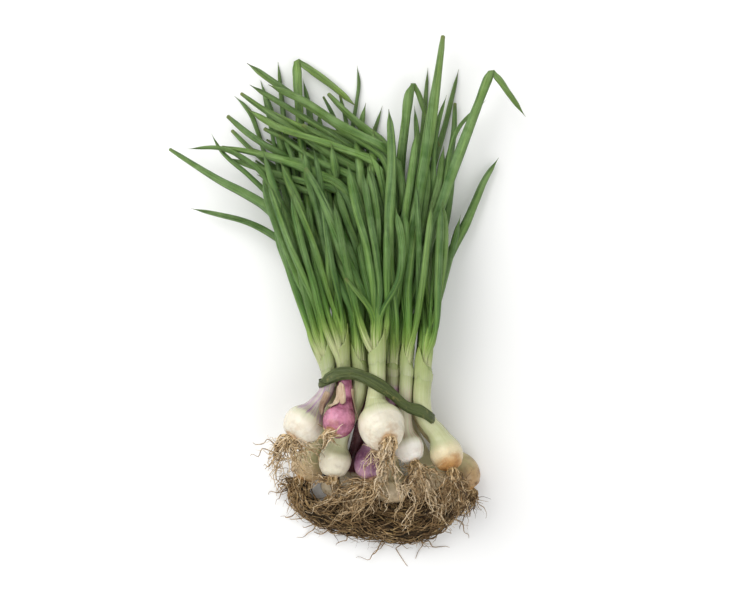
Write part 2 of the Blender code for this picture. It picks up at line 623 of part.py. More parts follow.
def band_rings(route):
    """Flat four-cornered rings along the band's route, thin across the shafts."""
    wide = np.array([0.0, TIE_WIDTH / 2, 0.0])
    rings = []
    for spot, way in zip(route, ring_ways(route)):
        out = unit(np.array([way[2], 0.0, -way[0]])) * TIE_THICK / 2
        rings.append((spot, wide + out, wide - out))
    return rings


def build():
    clear_scene()
    leaf_green = make_material("leaf_green", LEAF_GREEN, 0.5)
    shaft_white = make_material("shaft_white", SHAFT_WHITE, 0.4)
    bulb_purple = make_material("bulb_purple", BULB_PURPLE, 0.35)
    root_tan = make_material("root_tan", ROOT_TAN, 0.85)
    tie_green = make_material("tie_green", TIE_GREEN, 0.6)

    strands = []
    for number, onion in enumerate(ONIONS, 1):
        bulb = onion_strand(number, onion)
        strands.append(bulb)
        outward = unit(bulb.points[0] - bulb.points[1])
        strands.append(root_strand(number, onion, bulb.points[0], outward))
        forward = unit(bulb.points[-1] - bulb.points[-2])
        own = [leaf for leaf in LEAVES if leaf["onion"] == number]
        for order, leaf in enumerate(own):
            strands.append(leaf_strand(number, leaf, order, len(own), bulb.points[-1], forward))
    settle(strands)
    for strand in strands:
        lay_rings(strand)
    for _ in range(THIN_ROUNDS):
        if thin_where_tight(strands) <= 0:
            break

    for strand in strands:
        onion = ONIONS[strand.onion - 1]
        if strand.kind == "bulb":
            skin = bulb_purple if onion["purple"] > 0.7 else shaft_white
            rests = onion["bulb"][2] < GROUND_LAYER
            add_object(strand.name, round_rings(strand, BULB_SIDES), BULB_SIDES, skin, rests)
        elif strand.kind == "leaf":
            add_object(strand.name, round_rings(strand, LEAF_SIDES), LEAF_SIDES, leaf_green)
        else:
            add_object(strand.name, round_rings(strand, ROOT_SIDES), ROOT_SIDES, root_tan)
    add_object("tie_band", band_rings(tie_route(strands)), 4, tie_green)


build()
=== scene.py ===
import math

import bmesh
import bpy
import numpy as np
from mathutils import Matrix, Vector, noise


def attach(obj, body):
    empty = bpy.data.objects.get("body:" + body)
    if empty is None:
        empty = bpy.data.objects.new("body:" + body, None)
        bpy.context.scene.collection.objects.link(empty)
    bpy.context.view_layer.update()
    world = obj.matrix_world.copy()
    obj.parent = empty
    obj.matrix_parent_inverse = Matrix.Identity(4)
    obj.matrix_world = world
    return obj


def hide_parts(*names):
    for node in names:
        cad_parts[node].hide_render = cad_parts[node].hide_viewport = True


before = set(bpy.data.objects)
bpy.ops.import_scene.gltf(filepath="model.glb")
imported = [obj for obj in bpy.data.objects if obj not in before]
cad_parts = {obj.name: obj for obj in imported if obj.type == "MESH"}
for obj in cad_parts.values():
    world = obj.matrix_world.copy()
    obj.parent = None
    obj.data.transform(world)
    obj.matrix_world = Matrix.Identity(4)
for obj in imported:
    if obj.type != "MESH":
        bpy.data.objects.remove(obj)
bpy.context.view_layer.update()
mm = 0.001
print("frame loaded,", len(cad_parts), "nodes")


# lines in space, all in millimetres

def unit(vector):
    return vector / np.linalg.norm(vector)


def smoothStep(value):
    value = np.clip(value, 0.0, 1.0)
    return value * value * (3 - 2 * value)


def arcLengths(points):
    return np.concatenate([[0.0], np.cumsum(np.linalg.norm(np.diff(points, axis=0), axis=1))])


def smoothValues(along, values, at):
    # a smooth curve through values that may be unevenly spaced
    values = np.asarray(values, float).reshape(len(along), -1)
    gaps = np.diff(along)[:, None]
    slopes = np.diff(values, axis=0) / gaps
    middle = (slopes[:-1] * gaps[1:] + slopes[1:] * gaps[:-1]) / (gaps[1:] + gaps[:-1])
    tangents = np.vstack([slopes[:1], middle, slopes[-1:]])
    k = np.clip(np.searchsorted(along, at, side="right") - 1, 0, len(gaps) - 1)
    h = gaps[k]
    t = (at - along[k])[:, None] / h
    return (values[k] * (1 + 2 * t) * (1 - t) ** 2 + tangents[k] * h * t * (1 - t) ** 2
            + values[k + 1] * t * t * (3 - 2 * t) + tangents[k + 1] * h * t * t * (t - 1))


def smoothPath(points, spacing):
    points = np.asarray(points, float)
    along = arcLengths(points)
    at = np.linspace(0.0, along[-1], max(4, int(along[-1] / spacing) + 1))
    return smoothValues(along, points, at)


def alongPath(centres, values, path):
    # a strand's radii, read off at the points of a path along it
    return smoothValues(arcLengths(centres), values, arcLengths(path))[:, 0]


def softened(values, reach):
    # each value as the mean of those around it
    count = 2 * reach + 1
    return np.convolve(np.pad(values, reach, "edge"), np.ones(count) / count, "valid")


def slowNoise(count, spacing, length, rolls):
    # a smooth random walk around zero, changing over about the given length
    knots = max(4, int(count * spacing / length) + 4)
    values = rolls.uniform(-1.0, 1.0, knots)
    return smoothValues(np.arange(knots) * 1.0, values, np.linspace(0.5, knots - 1.5, count))[:, 0]


def carriedFrames(path, side=None):
    # the way along a path, with two square directions carried along it without twist
    steps = np.diff(path, axis=0)
    steps /= np.linalg.norm(steps, axis=1)[:, None] + 1e-9
    ways = np.vstack([steps[:1], steps[1:] + steps[:-1], steps[-1:]])
    ways /= np.linalg.norm(ways, axis=1)[:, None] + 1e-9
    if side is None:
        side = np.cross(ways[0], (0.0, 1.0, 0.0) if abs(ways[0][2]) > 0.95 else (0.0, 0.0, 1.0))
    sides = []
    for way in ways:
        side = unit(side - way * (side @ way))
        sides.append(side)
    sides = np.array(sides)
    return ways, sides, np.cross(sides, ways)


def ringWays(sides, rises, angles):
    # the ways out from a line, all round it, at each of its points
    return sides[:, None] * np.cos(angles)[None, :, None] + rises[:, None] * np.sin(angles)[None, :, None]


def aroundStrand(angles, along):
    # a strand's own coordinates: round it, and along it
    shape = (len(along), len(angles))
    return np.stack([np.broadcast_to(np.cos(angles), shape), np.broadcast_to(np.sin(angles), shape),
                     np.broadcast_to(np.reshape(along, (len(along), -1)), shape)], axis=2)


def fullCircle(places):
    return np.arange(places) * 2 * math.pi / places


def turnedWay(sides, rises, turn):
    return sides * np.cos(turn)[:, None] + rises * np.sin(turn)[:, None]


def withEnds(rings, first, last):
    # rings drawn together to a point at each end
    ends = [np.repeat(np.reshape(spot, (1, 1, 3)), rings.shape[1], axis=1) for spot in (first, last)]
    return np.vstack([ends[0], rings, ends[1]])


# the frame's own strands: every CAD strand is a row of rings between two flat ends

def flatEnds(shape, corners):
    seen, ends = set(), []
    for face in shape.faces:
        if face in seen:
            continue
        patch, waiting = {face}, [face]
        while waiting:
            here = waiting.pop()
            for edge in here.edges:
                for other in edge.link_faces:
                    if other not in patch and other.normal.dot(face.normal) > 0.99999:
                        patch.add(other)
                        waiting.append(other)
        seen |= patch
        rim = {corner for part in patch for corner in part.verts}
        spots = np.array([corner.co for corner in rim]) / mm
        apart = np.linalg.norm(spots - spots.mean(axis=0), axis=1)
        if len(rim) == corners and np.ptp(apart) < 0.01 * apart.max():
            ends.append(rim)
    return ends


def readRings(name, corners):
    # centres and radii of a strand's rings, from one end to the other
    shape = bmesh.new()
    shape.from_mesh(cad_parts[name].data)
    bmesh.ops.remove_doubles(shape, verts=shape.verts, dist=0.02 * mm)
    shape.normal_update()
    ring = flatEnds(shape, corners)[0]
    seen, centres, radii = set(ring), [], []
    while ring:
        spots = np.array([corner.co for corner in ring]) / mm
        centres.append(spots.mean(axis=0))
        radii.append(np.linalg.norm(spots - centres[-1], axis=1).mean())
        ring = {edge.other_vert(corner) for corner in ring for edge in corner.link_edges} - seen
        seen |= ring
    shape.free()
    return np.array(centres), np.array(radii)


def startingNear(strand, spot):
    centres, radii = strand
    if np.linalg.norm(centres[0] - spot) > np.linalg.norm(centres[-1] - spot):
        return centres[::-1], radii[::-1]
    return centres, radii


rootSide = np.array([20.0, -400.0, 30.0])
bulbs = {number: startingNear(readRings(f"onion_{number:02d}_bulb", 10), rootSide) for number in range(1, 14)}
leaves = {}
for name in sorted(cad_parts):
    if "_leaf_" in name:
        number = int(name[6:8])
        leaves[name] = startingNear(readRings(name, 6), bulbs[number][0][-1])
print("strands read:", len(bulbs), "bulbs,", len(leaves), "leaves")


# meshes: a grid is made for each strand and wrapped round it

def newShape():
    shape = bmesh.new()
    for layer in ("strand", "life"):
        shape.verts.layers.float_vector.new(layer)
    return shape


def addObject(name, data):
    made = bpy.data.objects.new(name, data)
    bpy.context.scene.collection.objects.link(made)
    return made


def wrapGrid(shape, rings, strand, life):
    # rings, strand and life are arrays of rows, places round the row, and three numbers
    rows, places = rings.shape[:2]
    made = bmesh.ops.create_grid(shape, x_segments=places, y_segments=rows - 1, size=1.0)["verts"]
    strandLayer = shape.verts.layers.float_vector["strand"]
    lifeLayer = shape.verts.layers.float_vector["life"]
    order = list(range(places)) + [0]
    for corner, spot, where, age in zip(made, (rings[:, order] * mm).reshape(-1, 3),
                                        strand[:, order].reshape(-1, 3),
                                        life[:, order].reshape(-1, 3)):
        corner.co = spot
        corner[strandLayer] = where
        corner[lifeLayer] = age
    bmesh.ops.remove_doubles(shape, verts=made, dist=1e-7)


def finishPiece(name, shape, materials, nodes=()):
    bmesh.ops.recalc_face_normals(shape, faces=shape.faces)
    mesh = bpy.data.meshes.new(name)
    shape.to_mesh(mesh)
    shape.free()
    for material in materials:
        mesh.materials.append(material)
    mesh.shade_smooth()
    piece = addObject(name, mesh)
    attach(piece, "root")
    if nodes:
        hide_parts(*nodes)


# materials

def tone(red, green, blue):
    # a colour chip's values, 0 to 255, as the shader's own
    chip = [c / 255 for c in (red, green, blue)]
    return tuple(((c + 0.055) / 1.055) ** 2.4 if c > 0.04 else c / 12.92 for c in chip) + (1.0,)


def feed(tree, socket, value):
    # another socket is linked, and a plain value is set
    if isinstance(value, bpy.types.NodeSocket):
        tree.links.new(value, socket)
    else:
        socket.default_value = value


def addNode(tree, kind, inputs=None, **settings):
    made = tree.nodes.new("ShaderNode" + kind)
    for key, value in settings.items():
        setattr(made, key, value)
    for key, value in (inputs or {}).items():
        feed(tree, made.inputs[key], value)
    return made


def calc(tree, operation, first, second=0.0, third=0.0):
    made = addNode(tree, "Math", {0: first, 1: second, 2: third}, operation=operation)
    return made.outputs[0]


def times(tree, first, second):
    return calc(tree, "MULTIPLY", first, second)


def mixIn(tree, value, share, onto):
    # a share of one value added to another
    return calc(tree, "MULTIPLY_ADD", value, share, onto)


def remap(tree, value, low, high, toLow=0.0, toHigh=1.0, smooth=False):
    kind = "SMOOTHSTEP" if smooth else "LINEAR"
    made = addNode(tree, "MapRange", {"Value": value, "From Min": low, "From Max": high,
                                      "To Min": toLow, "To Max": toHigh}, interpolation_type=kind)
    return made.outputs["Result"]


def blend(tree, share, first, second):
    return addNode(tree, "Mix", {0: share, 6: first, 7: second}, data_type="RGBA").outputs[2]


def ramp(tree, value, stops):
    made = addNode(tree, "ValToRGB", {"Fac": value})
    points = made.color_ramp.elements
    points[0].position, points[0].color = stops[0]
    points[1].position, points[1].color = stops[-1]
    for place, colour in stops[1:-1]:
        points.new(place).color = colour
    return made.outputs["Color"]


def around(tree, value, middle, softness, smooth=False):
    # 0 below the middle and 1 above it, with a soft edge
    low = calc(tree, "SUBTRACT", middle, softness)
    return remap(tree, value, low, calc(tree, "ADD", middle, softness), smooth=smooth)


def newGroup(name, vector, numbers, result):
    # a group that takes a vector and some numbers, given here with their usual values
    group = bpy.data.node_groups.new(name, "ShaderNodeTree")
    group.interface.new_socket(vector, in_out="INPUT", socket_type="NodeSocketVector")
    for label, value in numbers.items():
        socket = group.interface.new_socket(label, in_out="INPUT", socket_type="NodeSocketFloat")
        socket.default_value = value
    group.interface.new_socket(result, in_out="OUTPUT", socket_type="NodeSocketFloat")
    return group, group.nodes.new("NodeGroupInput").outputs, group.nodes.new("NodeGroupOutput").inputs


def makeVeinGroup():
    # fine lines that run along a strand; Count sets how many lie round it
    group, given, out = newGroup("veins", "Strand", {"Count": 6.0, "Drift": 0.02, "Contrast": 0.2}, "Lines")
    parts = addNode(group, "SeparateXYZ", {0: given["Strand"]}).outputs
    spot = addNode(group, "CombineXYZ", {k: times(group, parts[k], given[label]) for k, label in
                                         enumerate(("Count", "Count", "Drift"))}).outputs[0]
    grain = addNode(group, "TexNoise", {"Vector": spot, "Scale": 1.0, "Detail": 3.0,
                                        "Roughness": 0.6}).outputs["Fac"]
    group.links.new(around(group, grain, 0.5, given["Contrast"]), out["Lines"])
    return group


def makeBlotchGroup():
    # soft patches; Cover moves between none and all over
    group, given, out = newGroup("blotches", "Place", {"Scale": 80.0, "Cover": 0.5, "Softness": 0.1}, "Mask")
    cloud = addNode(group, "TexNoise", {"Vector": given["Place"], "Scale": given["Scale"],
                                        "Detail": 4.0, "Roughness": 0.62}).outputs["Fac"]
    edge = remap(group, given["Cover"], 0.0, 1.0, 0.75, 0.25)
    group.links.new(around(group, cloud, edge, given["Softness"], smooth=True), out["Mask"])
    return group


def makeSpeckGroup():
    # small round specks
    group, given, out = newGroup("specks", "Place", {"Scale": 200.0, "Size": 0.15}, "Mask")
    cells = addNode(group, "TexVoronoi", {"Vector": given["Place"], "Scale": given["Scale"]})
    rare = addNode(group, "SeparateColor", {0: cells.outputs["Color"]}).outputs[0]
    size = times(group, given["Size"], remap(group, rare, 0.72, 1.0))
    mask = remap(group, calc(group, "SUBTRACT", size, cells.outputs["Distance"]), 0.0, 0.05)
    group.links.new(mask, out["Mask"])
    return group


veins, blotches, specks = makeVeinGroup(), makeBlotchGroup(), makeSpeckGroup()


def veinLines(tree, strand, count, drift, contrast):
    given = {"Strand": strand, "Count": count, "Drift": drift, "Contrast": contrast}
    return addNode(tree, "Group", given, node_tree=veins).outputs["Lines"]


def patches(tree, place, scale, cover, softness):
    given = {"Place": place, "Scale": scale, "Cover": cover, "Softness": softness}
    return addNode(tree, "Group", given, node_tree=blotches).outputs["Mask"]


def dots(tree, place, scale, size):
    given = {"Place": place, "Scale": scale, "Size": size}
    return addNode(tree, "Group", given, node_tree=specks).outputs["Mask"]


def finishShader(tree, shader, colour, rough, gloss=0.5):
    feed(tree, shader.inputs["Base Color"], colour)
    feed(tree, shader.inputs["Roughness"], rough)
    shader.inputs["Specular IOR Level"].default_value = gloss


def softenShader(shader, share, radius, reach):
    # light that goes a little way in, reach in millimetres
    shader.inputs["Subsurface Weight"].default_value = share
    shader.inputs["Subsurface Radius"].default_value = radius
    shader.inputs["Subsurface Scale"].default_value = reach * mm


def layered(tree, colour, layers):
    # colours laid over each other, each by its own share
    for share, over in layers:
        colour = blend(tree, share, colour, over)
    return colour


def newMaterial(name):
    material = bpy.data.materials.new(name)
    material.use_nodes = True
    tree = material.node_tree
    shader = tree.nodes["Principled BSDF"]
    place = addNode(tree, "TexCoord").outputs["Object"]
    strand = addNode(tree, "Attribute", attribute_name="strand").outputs["Vector"]
    life = addNode(tree, "SeparateXYZ", {
        0: addNode(tree, "Attribute", attribute_name="life").outputs["Vector"]})
    return material, tree, shader, place, strand, life.outputs


def bump(tree, shader, heights):
    # heights: (value, depth in millimetres), the finest last
    normal = None
    for value, depth in heights:
        made = addNode(tree, "Bump", {"Height": value, "Distance": depth * mm, "Strength": 1.0})
        if normal is not None:
            tree.links.new(normal, made.inputs["Normal"])
        normal = made.outputs["Normal"]
    tree.links.new(normal, shader.inputs["Normal"])


# shaded is the painted shade on one flank of a leaf, and also the darker green of leaves picked at random;
# pale is the painted highlight on the other flank
leafLook = {"along": [(0.0, tone(194, 200, 146)), (0.035, tone(194, 200, 146)), (0.075, tone(150, 178, 80)),
                      (0.13, tone(106, 162, 44)), (0.3, tone(86, 140, 38)), (0.6, tone(98, 148, 52)),
                      (1.0, tone(150, 180, 84))],
            "yellowed": tone(140, 168, 64), "bluish": tone(56, 98, 54), "shaded": tone(38, 78, 24),
            "pale": tone(160, 190, 98), "paleStreak": tone(150, 176, 96), "darkStreak": tone(40, 74, 28),
            "thin": tone(162, 190, 116), "bloom": tone(154, 184, 124), "dry": tone(138, 140, 76),
            "roughness": 0.36}


def makeLeafMaterial():
    # life here: mm from the shaft, mm to the tip, and the leaf's own number from 0 to 1
    look = leafLook
    material, tree, shader, place, strand, life = newMaterial("leaf_skin")
    fromBase, toTip, hue = life[0], life[1], life[2]
    # broad changes slowly round each leaf and along it: where it is high that flank is painted darker
    # (painted shade), where it is low the lines paint a highlight; it also sets broad ridges in the bump
    broad = veinLines(tree, strand, 1.1, 0.008, 0.12)
    lines = veinLines(tree, strand, 4.5, 0.012, 0.22)
    fine = veinLines(tree, strand, 16.0, 0.02, 0.25)
    wander = mixIn(tree, lines, 18.0, fromBase)
    green = remap(tree, wander, -4.0, 26.0)
    yellow = times(tree, remap(tree, hue, 0.62, 1.0), 0.38)
    blue = times(tree, remap(tree, hue, 0.4, 0.0), 0.45)
    # light: a painted highlight in pale lines on the flank away from the painted shade, above the leaf's pale
    # foot
    light = times(tree, calc(tree, "SUBTRACT", 1.0, broad), times(tree, lines, green))
    streak = times(tree, fine, remap(tree, green, 0.0, 1.0, 0.12, 0.30))
    thin = times(tree, remap(tree, fine, 0.3, 0.0), green)
    own = calc(tree, "FRACT", times(tree, hue, 7.31))
    cloud = patches(tree, place, 60.0, 0.55, 0.2)
    waxy = times(tree, remap(tree, fromBase, 10.0, 60.0), remap(tree, cloud, 0, 1, 0.4, 1.0))
    bloom = times(tree, patches(tree, strand, 0.05, 0.55, 0.14), waxy)
    ragged = mixIn(tree, lines, 5.0, toTip)
    dryEnd = times(tree, remap(tree, ragged, 6.5, 2.5), remap(tree, hue, 0.0, 0.6, 0.3, 0.7))
    colour = layered(tree, ramp(tree, remap(tree, wander, -16.0, 254.0), look["along"]), [
        (times(tree, yellow, green), look["yellowed"]),
        (times(tree, blue, green), look["bluish"]),
        # painted shade on one flank of each leaf, then the painted highlight on the other
        (times(tree, times(tree, broad, green), 0.62), look["shaded"]),
        (times(tree, light, 0.8), look["pale"]),
        (streak, blend(tree, green, look["paleStreak"], look["darkStreak"])),
        (times(tree, thin, 0.36), look["thin"]),
        (times(tree, times(tree, own, green), 0.50), look["shaded"]),
        (times(tree, bloom, 0.42), look["bloom"]),
        (times(tree, dots(tree, place, 90.0, 0.09), 0.4), look["dry"]),
        (dryEnd, look["dry"])])
    finishShader(tree, shader, colour, mixIn(tree, bloom, 0.22, look["roughness"]), gloss=0.45)
    softenShader(shader, 0.08, (0.4, 1.0, 0.2), 1.2)
    bump(tree, shader, [(broad, 0.8), (lines, 0.55), (fine, 0.14)])
    return material


# purple: how much, the way it faces and how far it reaches; deep, tint and light are its colours
onionLooks = {
    1: dict(skin=(230, 222, 205), neck=(196, 198, 166), purple=0.9, way=(0.9, 0.3, -0.5), reach=0.72,
            neckPurple=0.5, stain=0.30, soil=0.10, plateSize=0.07,
            deep=(104, 54, 108), tint=(146, 98, 148), light=(184, 152, 184)),
    2: dict(skin=(214, 186, 190), neck=(190, 184, 150), purple=1.0, way=(0.1, 0.2, 1.0), reach=-2.0,
            neckPurple=0.95, stain=0.35, soil=0.10, plateSize=0.07,
            deep=(72, 10, 40), tint=(116, 28, 72), light=(204, 134, 160)),
    3: dict(skin=(228, 220, 201), neck=(204, 206, 166), stain=0.40),
    # onion 4's skin is near-white, lighter than the bulb itself: painted light against the shade that bulb 3
    # casts on it
    4: dict(skin=(252, 247, 238), neck=(204, 200, 168), purple=0.12, way=(0.9, 0.3, -0.2),
            neckPurple=0.25, stain=0.2),
    5: dict(skin=(226, 212, 176), neck=(200, 202, 164), neckPurple=0.05, stain=1.0, soil=0.25, plateSize=0.9),
    6: dict(skin=(228, 220, 198), neck=(202, 202, 166), purple=0.10, way=(0.8, 0.1, -0.6),
            stain=0.12, soil=0.25),
    7: dict(skin=(208, 182, 140), neck=(202, 194, 158), stain=0.6, soil=0.50, plateSize=0.3),
    8: dict(skin=(196, 164, 172), neck=(180, 168, 150), purple=0.85, way=(0.0, 0.2, 1.0), reach=-2.0,
            neckPurple=1.0, soil=0.18, deep=(94, 46, 80), tint=(138, 86, 120), light=(186, 144, 166)),
    # onions 9 and 10: their necks, seen in the gaps between the upper bulbs, are a near-black maroon: dark
    # purple skin, deepened into painted shade for those gaps
    9: dict(skin=(204, 190, 166), neck=(190, 178, 146), purple=0.45, way=(-0.2, -0.9, 0.4), reach=0.45,
            neckPurple=1.0, soil=0.35, deep=(50, 18, 28), tint=(76, 32, 42), light=(112, 62, 66)),
    10: dict(skin=(200, 184, 156), neck=(184, 172, 140), neckPurple=0.8, soil=0.5,
             deep=(50, 18, 28), tint=(76, 32, 42), light=(112, 62, 66)),
    11: dict(skin=(216, 196, 162), neck=(206, 190, 156), way=(0.4, -0.4, 0.6), purple=0.1, soil=0.5),
    12: dict(skin=(184, 150, 106), neck=(196, 176, 136), neckPurple=0.05, stain=0.5, soil=0.85,
             plateSize=0.3),
    13: dict(skin=(214, 192, 156), neck=(200, 188, 154), neckPurple=0.05, stain=0.4, soil=0.5),
}
plainLook = dict(purple=0.0, way=(0.0, 0.0, 1.0), reach=0.6, neckPurple=0.10, stain=0.25, soil=0.12,
                 plateSize=0.07, deep=(116, 30, 78), tint=(160, 60, 108), light=(196, 112, 144))
onionLooks = {number: plainLook | look for number, look in onionLooks.items()}


def makeOnionMaterial(number, look):
    # life here: mm from the root plate over the bulb's length, purple, nearness to the shaft's end
    material, tree, shader, place, strand, life = newMaterial(f"onion_{number:02d}_skin")
    height, purple, top = life[0], life[1], life[2]
    lines = veinLines(tree, strand, 6.0, 0.010, 0.2)
    fine = veinLines(tree, strand, 22.0, 0.02, 0.22)
    cloud = patches(tree, place, 75.0, 0.5, 0.18)
    skin, neck = tone(*look["skin"]), tone(*look["neck"])
    shade = tone(*[int(c * 0.88) for c in look["skin"]])
    green = remap(tree, mixIn(tree, lines, 12.0, top), 42.0, 0.0, smooth=True)
    pale = times(tree, remap(tree, lines, 0.4, 0.0), green)
    streaks = remap(tree, mixIn(tree, lines, 0.55, purple), 0.5, 1.0)
    dark = blend(tree, fine, tone(*look["deep"]), tone(*look["tint"]))
    rootEnd = remap(tree, mixIn(tree, cloud, -0.05, height), look["plateSize"], 0.0, smooth=True)
    stain = times(tree, patches(tree, place, 110.0, 0.42, 0.08), remap(tree, height, 1.0, 0.25, smooth=True))
    dirt = times(tree, patches(tree, place, 190.0, 0.40, 0.10), remap(tree, height, 1.6, 0.3, 0.25, 1.0))
    dirt = times(tree, dirt, look["soil"])
    colour = blend(tree, remap(tree, mixIn(tree, lines, 0.25, height), 1.3, 2.2), skin, neck)
    colour = layered(tree, colour, [
        (times(tree, cloud, 0.35), shade),
        (times(tree, fine, remap(tree, height, 1.1, 2.4, 0.08, 0.52)), tone(168, 180, 112)),
        (times(tree, green, 0.9), tone(122, 144, 60)),
        (times(tree, pale, 0.5), tone(204, 206, 160)),
        (streaks, blend(tree, cloud, dark, tone(*look["light"]))),
        (times(tree, rootEnd, min(1.0, 0.35 + look["stain"])), tone(188, 140, 78)),
        (times(tree, stain, look["stain"] * 0.8), tone(170, 120, 66)),
        (dirt, tone(96, 72, 46)),
        (times(tree, dots(tree, place, 120.0, 0.14), 0.5), tone(110, 80, 52))])
    dull = calc(tree, "ADD", times(tree, dirt, 0.5), times(tree, rootEnd, 0.3))
    finishShader(tree, shader, colour, calc(tree, "ADD", dull, 0.20 + 0.15 * look["soil"]))
    softenShader(shader, 0.16, (1.0, 0.75, 0.5), 2.0)
    bump(tree, shader, [(lines, 0.16), (fine, 0.05), (dirt, 0.10)])
    return material


def makeRootMaterial():
    # life here: mm from the root plate, mm to the tip, how light the thread is
    material, tree, shader, place, _, life = newMaterial("root_thread")
    fromPlate, light = life[0], life[2]
    cloud = patches(tree, place, 260.0, 0.5, 0.2)
    # a thread's lightness runs the ramp from near black to pale tan; the darkest end is partly the threads'
    # own brown and partly painted shade down in the tangle
    shade = mixIn(tree, cloud, 0.25, times(tree, light, 0.85))
    # soil blotches: partly soil, partly painted shade in the gaps between threads
    soil = patches(tree, place, 420.0, 0.34, 0.08)
    colour = ramp(tree, shade, [(0.0, tone(30, 22, 12)), (0.3, tone(90, 68, 42)), (0.6, tone(154, 124, 84)),
                                (0.85, tone(206, 180, 140)), (1.0, tone(232, 212, 180))])
    fresh = remap(tree, fromPlate, 9.0, 1.0, smooth=True)
    colour = layered(tree, colour, [(times(tree, fresh, 0.40), tone(206, 176, 120)),
                                    (times(tree, soil, 0.7), tone(46, 35, 22))])
    finishShader(tree, shader, colour, 0.72, gloss=0.3)
    bump(tree, shader, [(soil, 0.12)])
    return material


def makeMatMaterial():
    # the middle of a tuft: matted threads with soil, and painted shade, between them
    material, tree, shader, place, strand, _ = newMaterial("root_mat")
    threads = veinLines(tree, strand, 9.0, 0.10, 0.14)
    cross = addNode(tree, "TexNoise", {"Vector": place, "Scale": 420.0, "Detail": 5.0, "Distortion": 1.6})
    mixed = mixIn(tree, cross.outputs["Fac"], 0.6, times(tree, threads, 0.5))
    # the near-black end is painted shade deep in the mat; the browns are soil and threads
    colour = ramp(tree, mixed, [(0.25, tone(10, 8, 5)), (0.5, tone(40, 31, 20)), (0.75, tone(84, 68, 46))])
    finishShader(tree, shader, colour, 0.9, gloss=0.2)
    bump(tree, shader, [(mixed, 0.9)])
    return material


def makeDrySkinMaterial():
    material, tree, shader, place, strand, _ = newMaterial("dry_skin")
    fine = veinLines(tree, strand, 5.0, 0.05, 0.18)
    cloud = patches(tree, place, 160.0, 0.5, 0.2)
    colour = blend(tree, fine, tone(214, 190, 158), tone(158, 122, 92))
    colour = blend(tree, times(tree, cloud, 0.5), colour, tone(226, 210, 186))
    finishShader(tree, shader, colour, 0.6)
    bump(tree, shader, [(fine, 0.2)])
    return material


def makeTieMaterial():
    material, tree, shader, place, strand, _ = newMaterial("tie_leaf")
    lines = veinLines(tree, strand, 3.5, 0.02, 0.2)
    fine = veinLines(tree, strand, 12.0, 0.04, 0.25)
    cloud = patches(tree, place, 90.0, 0.5, 0.2)
    colour = layered(tree, blend(tree, lines, tone(36, 50, 18), tone(80, 94, 38)), [
        (times(tree, cloud, 0.5), tone(62, 78, 30)),
        (times(tree, fine, 0.3), tone(118, 128, 66)),
        (times(tree, patches(tree, place, 210.0, 0.25, 0.06), 0.6), tone(140, 132, 72))])
    finishShader(tree, shader, colour, 0.48)
    bump(tree, shader, [(lines, 0.8), (fine, 0.2)])
    return material


leafMaterial = makeLeafMaterial()
rootMaterial, matMaterial = makeRootMaterial(), makeMatMaterial()
drySkinMaterial, tieMaterial = makeDrySkinMaterial(), makeTieMaterial()
onionMaterials = {number: makeOnionMaterial(number, look) for number, look in onionLooks.items()}
print("materials made")


